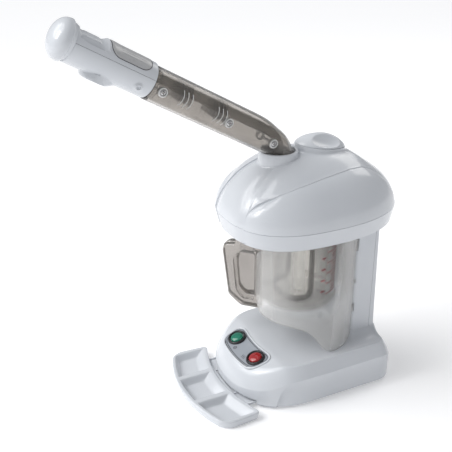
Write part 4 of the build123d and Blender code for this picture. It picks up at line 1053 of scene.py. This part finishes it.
def build_grip():
    """Clear closed grip with a flange line round it and a recessed window on each side."""
    bearing = radians(45)
    out = np.array([-sin(bearing), -cos(bearing), 0.0])
    wide = np.array([-cos(bearing), sin(bearing), 0.0])
    corners = [(44.0, 77.5), (69, 77.5), (85.0, 91), (93.4, 157), (76, 159), (76, 197.5), (44.0, 197.5)]
    outer = round_corners(corners, [2, 12, 10, 17, 3, 1, 1], 8, 2.0)
    window = round_corners([(52, 89), (66, 89), (74.5, 99), (79, 150), (52, 150)], [3, 9, 12, 12, 3], 8, 2.0)
    outer = resample(outer, 220)
    centre = np.mean(np.array(window), axis=0)

    def window_point(ray):
        """Where a ray from the window's middle first meets its outline."""
        best, hit = None, None
        for a, b in zip(window, window[1:] + window[:1]):
            edge, delta = b - a, a - centre
            cross = ray[0] * -edge[1] + edge[0] * ray[1]
            if abs(cross) < 1e-9:
                continue
            s = (delta[0] * -edge[1] + edge[0] * delta[1]) / cross
            t = (ray[0] * delta[1] - ray[1] * delta[0]) / cross
            if s > 0 and -1e-6 <= t <= 1 + 1e-6 and (best is None or s < best):
                best, hit = s, a + edge * t
        return hit

    inner = [window_point(spot - centre) for spot in outer]
    wider, narrower = [[centre + (p - centre) * grow for p in inner] for grow in (1.035, 0.97)]
    outer_in, outer_deep, flange = inset(outer, 0.8), inset(outer, 2.6), inset(outer, -0.9)
    near = ((flange, 1.4), (outer, 2.2), (outer, 7.0), (outer_in, 9.0), (outer_deep, 10.0), (wider, 9.9),
            (inner, 8.8), (inner, 2.0), (narrower, 1.2))
    far = [(loop, -w) for loop, w in reversed(near)]
    rows = [[out * p[0] + wide * w + UPRIGHT * p[1] for p in loop] for loop, w in (*far, *near)]
    piece("jar_grip", *skin(rows), "jar", "smoke_clear", TINTED, ["jar_handle"], crease=45)


build_jar()
build_grip()


# ---- steam arm
ARM_WALL, RIB_MIDDLES, RIB_STEPS = 2.2, (88.5, 130.5), (-5.2, 0.0, 5.2)


def arm_frames():
    """Centres and upward directions along the arm's bent axis."""
    turn = pi / 2 - ARM_TILT
    reach = ARM_BEND * tan(turn / 2)
    heights = np.linspace(FLANGE_Z, ARM_CORNER - reach, 12)[:-1]
    frames = [(np.array([0, COLLAR_Y, z]), NORTH) for z in heights]
    middle = np.array([0, COLLAR_Y - ARM_BEND, ARM_CORNER - reach])
    for a in np.linspace(0, turn, 19):
        up = np.array([0, cos(a), sin(a)])
        frames.append((middle + ARM_BEND * up, up))
    return frames + [(arm_point(0, 0, s), UP) for s in np.linspace(reach, ARM_LENGTH, 60)[1:]]


def arm_half(side):
    """Half of the clear tube, open along the arm's plane of symmetry and flattened over the elbow."""
    outer, inner, elbow_drop = ARM_RADIUS, ARM_RADIUS - ARM_WALL, 5.0
    rows = []
    frames = arm_frames()
    steps = 40
    for n, (here, up) in enumerate(frames):
        loop = []
        away = (here - ELBOW) @ ALONG
        rounder = elbow_drop * exp(-((away - 3.0) / 17.0) ** 2) * smooth(here[2], 284.0, 290.0)
        for radius, order in ((outer, range(steps + 1)), (inner, range(steps, -1, -1))):
            edge = 0.0
            if n == 0 or n == len(frames) - 1:
                edge = 0.35 if radius == outer else -0.35
            for k in order:
                a = -pi / 2 + pi * k / steps
                x = max((radius - edge) * cos(a), 0.06)
                height = (radius - edge) * sin(a) - rounder * max(sin(a), 0.0) ** 1.6
                loop.append(here + up * height + ACROSS * side * x)
        rows.append(loop)
    return skin(rows)


def arm_rib(along, side):
    """A short raised rib round one half, bowed towards the elbow."""
    line, radius, reach, bow = [], ARM_RADIUS - 0.12, radians(26), 2.0
    for share in np.linspace(-1, 1, 17):
        a = reach * share
        line.append(arm_point(side * radius * cos(a), radius * sin(a), along - bow * (1 - share ** 2)))
    return sweep(line, 0.42, 8, 1.0, UP)


def build_arm():
    piece("arm_tube_right", *arm_half(1), "arm", "smoke_clear", SMOKE, ["arm_shell_right"])
    piece("arm_tube_left", *arm_half(-1), "arm", "smoke_clear", SMOKE, ["arm_shell_left"])
    places = [middle + step for middle in RIB_MIDDLES for step in RIB_STEPS]
    ribs = [arm_rib(along, side) for side in (-1, 1) for along in places]
    # the ribs take the whitish finish that paints their glints as bright strokes
    piece("arm_ribs", *merge(*ribs), "arm", "smoke_clear", RIB_PAINTED_GLINT)
    spots = [arm_point(0, SCREW_DROP, along) for along in ARM_SCREWS_AT]
    boss = rounded([(3.5, 12.0), (4.9, 12.0), (4.9, 17.0), (4.4, 17.9), (3.5, 17.9)], 0.3)
    bosses = [lathe(boss, spot, (side, 0, 0), NORTH, steps=40) for spot in spots for side in (1, -1)]
    # the screw bosses take the same whitish finish, a painted highlight round each screw
    piece("arm_screw_bosses", *merge(*bosses), "arm", "smoke_clear", RIB_PAINTED_GLINT)
    heads = [screw_head(spot) for spot in spots]
    piece("arm_screw_heads", *merge(*heads), "arm", "steel_screw", CHROME, ["arm_screws"], crease=50)


def screw_head(centre):
    """Pan head with a cross recess, its shank running through both halves."""
    steps, rows, head_radius = 64, [], 3.1
    for k in range(26):
        radius = head_radius * (k + 0.3) / 25.3
        rise = 1.5 * (1 - (radius / (head_radius + 0.1)) ** 2.6) ** 0.6
        row = []
        for a in turns(steps):
            y, z = radius * cos(a), radius * sin(a)
            arm_a = (1 - smooth(abs(y), 0.35, 0.55)) * (1 - smooth(abs(z), 1.6, 2.0))
            arm_b = (1 - smooth(abs(z), 0.35, 0.55)) * (1 - smooth(abs(y), 1.6, 2.0))
            row.append(centre + np.array([16.7 + rise - 1.1 * max(arm_a, arm_b), y, z]))
        rows.append(row)
    for radius, x in ((head_radius, 16.2), (1.5, 16.1), (1.5, -8.0), (0.4, -9.5)):
        rows.append(ring(centre + ACROSS * x, radius, NORTH, UPRIGHT, steps))
    return skin(rows)


build_arm()


# ---- nozzle
NOZZLE_LIFT = 1.2
PARTING = 4.5
SPOUT_AT, SPOUT_HALF, SPOUT_SIDE, SPOUT_BOTTOM = 217.4, 14.8, 14.2, -20.8
GRIP_FROM, GRIP_TO, GRIP_DEPTH = 219.5, 251.0, 2.5
RIDGE_HEIGHT, RIDGE_SPACING, RIDGE_WIDTH = 0.55, radians(19), radians(2.6)
BEAD_AT, BEAD_HEIGHT = 219.4, 0.8
BADGE_FROM, BADGE_TO = 174.5, 217.0
PIN_AT, PIN_BEARING = 180.0, radians(119)


def nozzle_radius(along, angle):
    """Radius of the nozzle at a place along it; angle 0 is up, positive towards +X."""
    r = NOZZLE_RADIUS - edge_drop(1.8, along - NOZZLE_START)
    end = NOZZLE_END - along
    if end < 0.8:
        r -= 0.5 * (1 - end / 0.8)
    turned = abs(angle)
    hollow = smooth(along, GRIP_FROM, GRIP_FROM + 7) * (1 - smooth(along, GRIP_TO - 3.2, GRIP_TO - 0.8))
    slant = 6.0 * smooth(along, GRIP_TO - 13.0, GRIP_TO - 2.0)
    hollow *= 1 - smooth(turned, radians(60 - slant), radians(63 - slant))
    r -= GRIP_DEPTH * hollow
    if hollow > 0.9:
        ends = smooth(along, 227, 228.5) * (1 - smooth(along, 243.5, 245))
        for k in (-2, -1, 0, 1, 2):
            r += RIDGE_HEIGHT * exp(-((angle - RIDGE_SPACING * k) / RIDGE_WIDTH) ** 2) * ends
    bead = exp(-((along - BEAD_AT) / 1.2) ** 2) * (1 - smooth(turned, radians(54), radians(60)))
    r += BEAD_HEIGHT * bead
    below = pi - turned
    if below < radians(75):
        height = min((-SPOUT_BOTTOM + NOZZLE_LIFT) / max(cos(below), 0.3), 24.0)
        lateral = height * sin(below)
        lean = (along - SPOUT_AT) / (SPOUT_HALF if along > SPOUT_AT else SPOUT_HALF + 3.0)
        foot = sqrt(lean ** 2 + (lateral / SPOUT_SIDE) ** 2)
        sharp = 0.16 if along > SPOUT_AT else 0.32
        r = r + (max(height, r) - r) * (1 - smooth(foot, 1.0 - sharp, 1.0 + sharp * 0.8))
    return r


def pin_bump(along, angle):
    """The small boss with a dimple on each side, near the joint."""
    bump = 0.0
    for side in (-1, 1):
        across = (angle - side * PIN_BEARING) * NOZZLE_RADIUS
        distance = hypot(along - PIN_AT, across)
        bump += 2.3 * (1 - smooth(distance, 1.5, 5.4)) - 2.6 * (1 - smooth(distance, 0.8, 2.7))
    return bump


def nozzle_point(along, angle):
    r = nozzle_radius(along, angle) + pin_bump(along, angle)
    return arm_point(r * sin(angle), r * cos(angle) + NOZZLE_LIFT, along)


def build_nozzle_half(name, start, end, node):
    """One shell of the nozzle between two angles, closed across the parting plane."""
    places = [NOZZLE_START + v for v in (0.02, 0.15, 0.4, 0.8, 1.3, 1.8)]
    places += list(np.arange(NOZZLE_START + 2.6, NOZZLE_END - 0.9, 0.55))
    places += [NOZZLE_END - v for v in (0.8, 0.4, 0.0)]
    steps = 150
    rows = []
    for along in places:
        row = [nozzle_point(along, start + (end - start) * k / steps) for k in range(steps + 1)]
        first, last = row[0], row[-1]
        row += [last + (first - last) * share for share in np.linspace(0, 1, 12)[1:-1]]
        rows.append(row)
    piece(name, *skin(rows), "nozzle", "white_shell", WHITE, [node], crease=40)


def build_nozzle():
    gap = radians(0.45)
    parting = np.arccos((PARTING - NOZZLE_LIFT) / NOZZLE_RADIUS)
    build_nozzle_half("nozzle_top_shell", -parting + gap, parting - gap, "nozzle_upper_shell")
    build_nozzle_half("nozzle_bottom_shell", parting + gap, 2 * pi - parting - gap, "nozzle_lower_shell")

    lift, rim, crown = 2.0, 20.2, 12.8
    profile = [(0.02, -1.5), (15.0, -1.5), (17.2, -0.8), (17.9, 0.0), (18.1, 2.4), (18.6, 3.0), (19.7, 3.4)]
    profile += [(rim, 4.1), (rim + 0.1, 5.0), (rim - 0.1, 6.0)]
    profile += [((rim - 0.25) * cos(a) ** 0.94, 6.2 + crown * sin(a))
                for a in np.linspace(0.05, pi / 2 - 0.005, 26)]
    dome = lathe(profile, arm_point(0, lift, NOZZLE_END), ALONG, ACROSS, steps=120)
    piece("nozzle_dome", *dome, "nozzle", "white_shell", WHITE, ["nozzle_end_cap"], crease=60)
    pin = [(0.02, -1.0), (1.7, -1.0), (1.7, 0.0), (1.4, 0.35), (0.02, 0.5)]
    for side, name, replaced in ((1, "pivot_pin_right", ["nozzle_pin"]), (-1, "pivot_pin_left", [])):
        out = ACROSS * sin(side * PIN_BEARING) + UP * cos(side * PIN_BEARING)
        centre = arm_point(0, NOZZLE_LIFT, PIN_AT) + out * (NOZZLE_RADIUS - 0.6)
        piece(name, *lathe(pin, centre, out, ALONG, steps=24), "nozzle", "white_shell", WHITE, replaced)


def badge_loop(shrink):
    """Outline of the plate as (along, arc) pairs."""
    half, low, high = 20.0 - shrink, BADGE_FROM + shrink, BADGE_TO - shrink
    corners = [(low, -half), (high, -half), (high, half), (low, half)]
    return round_corners(corners, [9.5 - shrink] * 4, 10, 2.0)


def on_badge(along, arc, radius):
    a = arc / NOZZLE_RADIUS
    return arm_point(radius * sin(a), radius * cos(a) + NOZZLE_LIFT, along)


def build_badge():
    outline = resample(badge_loop(0.0), 160)
    middle = np.array([(BADGE_FROM + BADGE_TO) / 2, 0.0])
    rows = [[on_badge(*p, NOZZLE_RADIUS - 0.7) for p in outline]]
    levels = [(1.0, 0.1), (0.992, 0.38), (0.975, 0.5)]
    levels += [(share, 0.55) for share in (0.9, 0.75, 0.55, 0.3, 0.02)]
    for share, lift in levels:
        spots = [middle + (p - middle) * share for p in outline]
        rows.append([on_badge(*q, NOZZLE_RADIUS + lift + 0.5 * smooth(q[0], BADGE_TO - 12, BADGE_TO - 1))
                     for q in spots])
    piece("badge_plate", *skin(rows), "nozzle", "badge_grey", BADGE, ["nozzle_badge"])
    seam = [on_badge(*p, NOZZLE_RADIUS + 0.12) for p in resample(badge_loop(-0.35), 160)]
    piece("badge_seam", *loop_bead(seam, 0.28, 6), "nozzle", "black_bezel", INK)
    slots = []
    for low, high in ((-13.6, -10.4), (10.4, 13.6)):
        line = round_corners([(179.5, low), (211.0, low), (211.0, high), (179.5, high)], [1.5] * 4, 5, 2.0)
        slots.append(loop_bead([on_badge(*p, NOZZLE_RADIUS + 0.56) for p in resample(line, 80)], 0.16, 6))
    piece("badge_lines", *merge(*slots), "nozzle", "badge_grey", BADGE)


build_nozzle()
build_badge()


# ---- floor, light, camera
def build_stage():
    shader = Shader("pale_floor")
    shader.finish({
        "Base Color": shader.colours(shader.noise(1.5, 2), (0.945, 0.945, 0.95), (0.935, 0.935, 0.94)),
        "Roughness": 0.7, "Emission Color": (1.0, 1.0, 1.0, 1), "Emission Strength": 0.2,
    })
    mesh = bpy.data.meshes.new("floor")
    far = 6.0
    mesh.from_pydata([(-far, -far, 0), (far, -far, 0), (far, far, 0), (-far, far, 0)], [], [(0, 1, 2, 3)])
    mesh.materials.append(shader.material)
    floor = bpy.data.objects.new("floor", mesh)
    bpy.context.scene.collection.objects.link(floor)


def aimed(name, data, direction, spot=(0, 0, 0)):
    """A light or camera that looks in a direction."""
    thing = bpy.data.objects.new(name, data)
    thing.location = spot
    thing.rotation_euler = Vector(direction).to_track_quat("-Z", "Y").to_euler()
    bpy.context.scene.collection.objects.link(thing)
    return thing


def area_light(name, spot, size, power, colour):
    """A rectangular lamp that faces the middle of the object."""
    data = bpy.data.lights.new(name, "AREA")
    data.shape = "RECTANGLE"
    data.size, data.size_y = size
    data.energy = power
    data.color = colour
    aimed(name, data, Vector((0.0, -0.05, 0.2)) - Vector(spot), spot)


def build_light():
    world = bpy.data.worlds.new("studio")
    world.use_nodes = True
    back = world.node_tree.nodes["Background"]
    back.inputs["Color"].default_value = (0.95, 0.965, 1.0, 1)
    back.inputs["Strength"].default_value = 0.38
    bpy.context.scene.world = world
    data = bpy.data.lights.new("sky", "SUN")
    data.energy = 2.0
    data.angle = radians(55)
    aimed("sky", data, (0.4, 0.85, -0.95))
    area_light("key", (-0.2, -1.6, 1.4), (0.35, 0.7), 8, (1.0, 1.0, 1.0))
    area_light("back", (-0.5, 1.4, 1.3), (1.0, 0.6), 4, (1.0, 0.98, 0.95))


def build_camera():
    azimuth, elevation = radians(63.96), radians(25.22)
    look = (-sin(azimuth) * cos(elevation), cos(azimuth) * cos(elevation), -sin(elevation))
    data = bpy.data.cameras.new("camera")
    data.sensor_width = 36.0
    data.lens = 62.56
    data.clip_end = 50
    bpy.context.scene.camera = aimed("camera", data, look, (0.68924, -0.43211, 0.57141))
    bpy.context.scene.view_settings.view_transform = "Standard"


build_stage()
build_light()
build_camera()
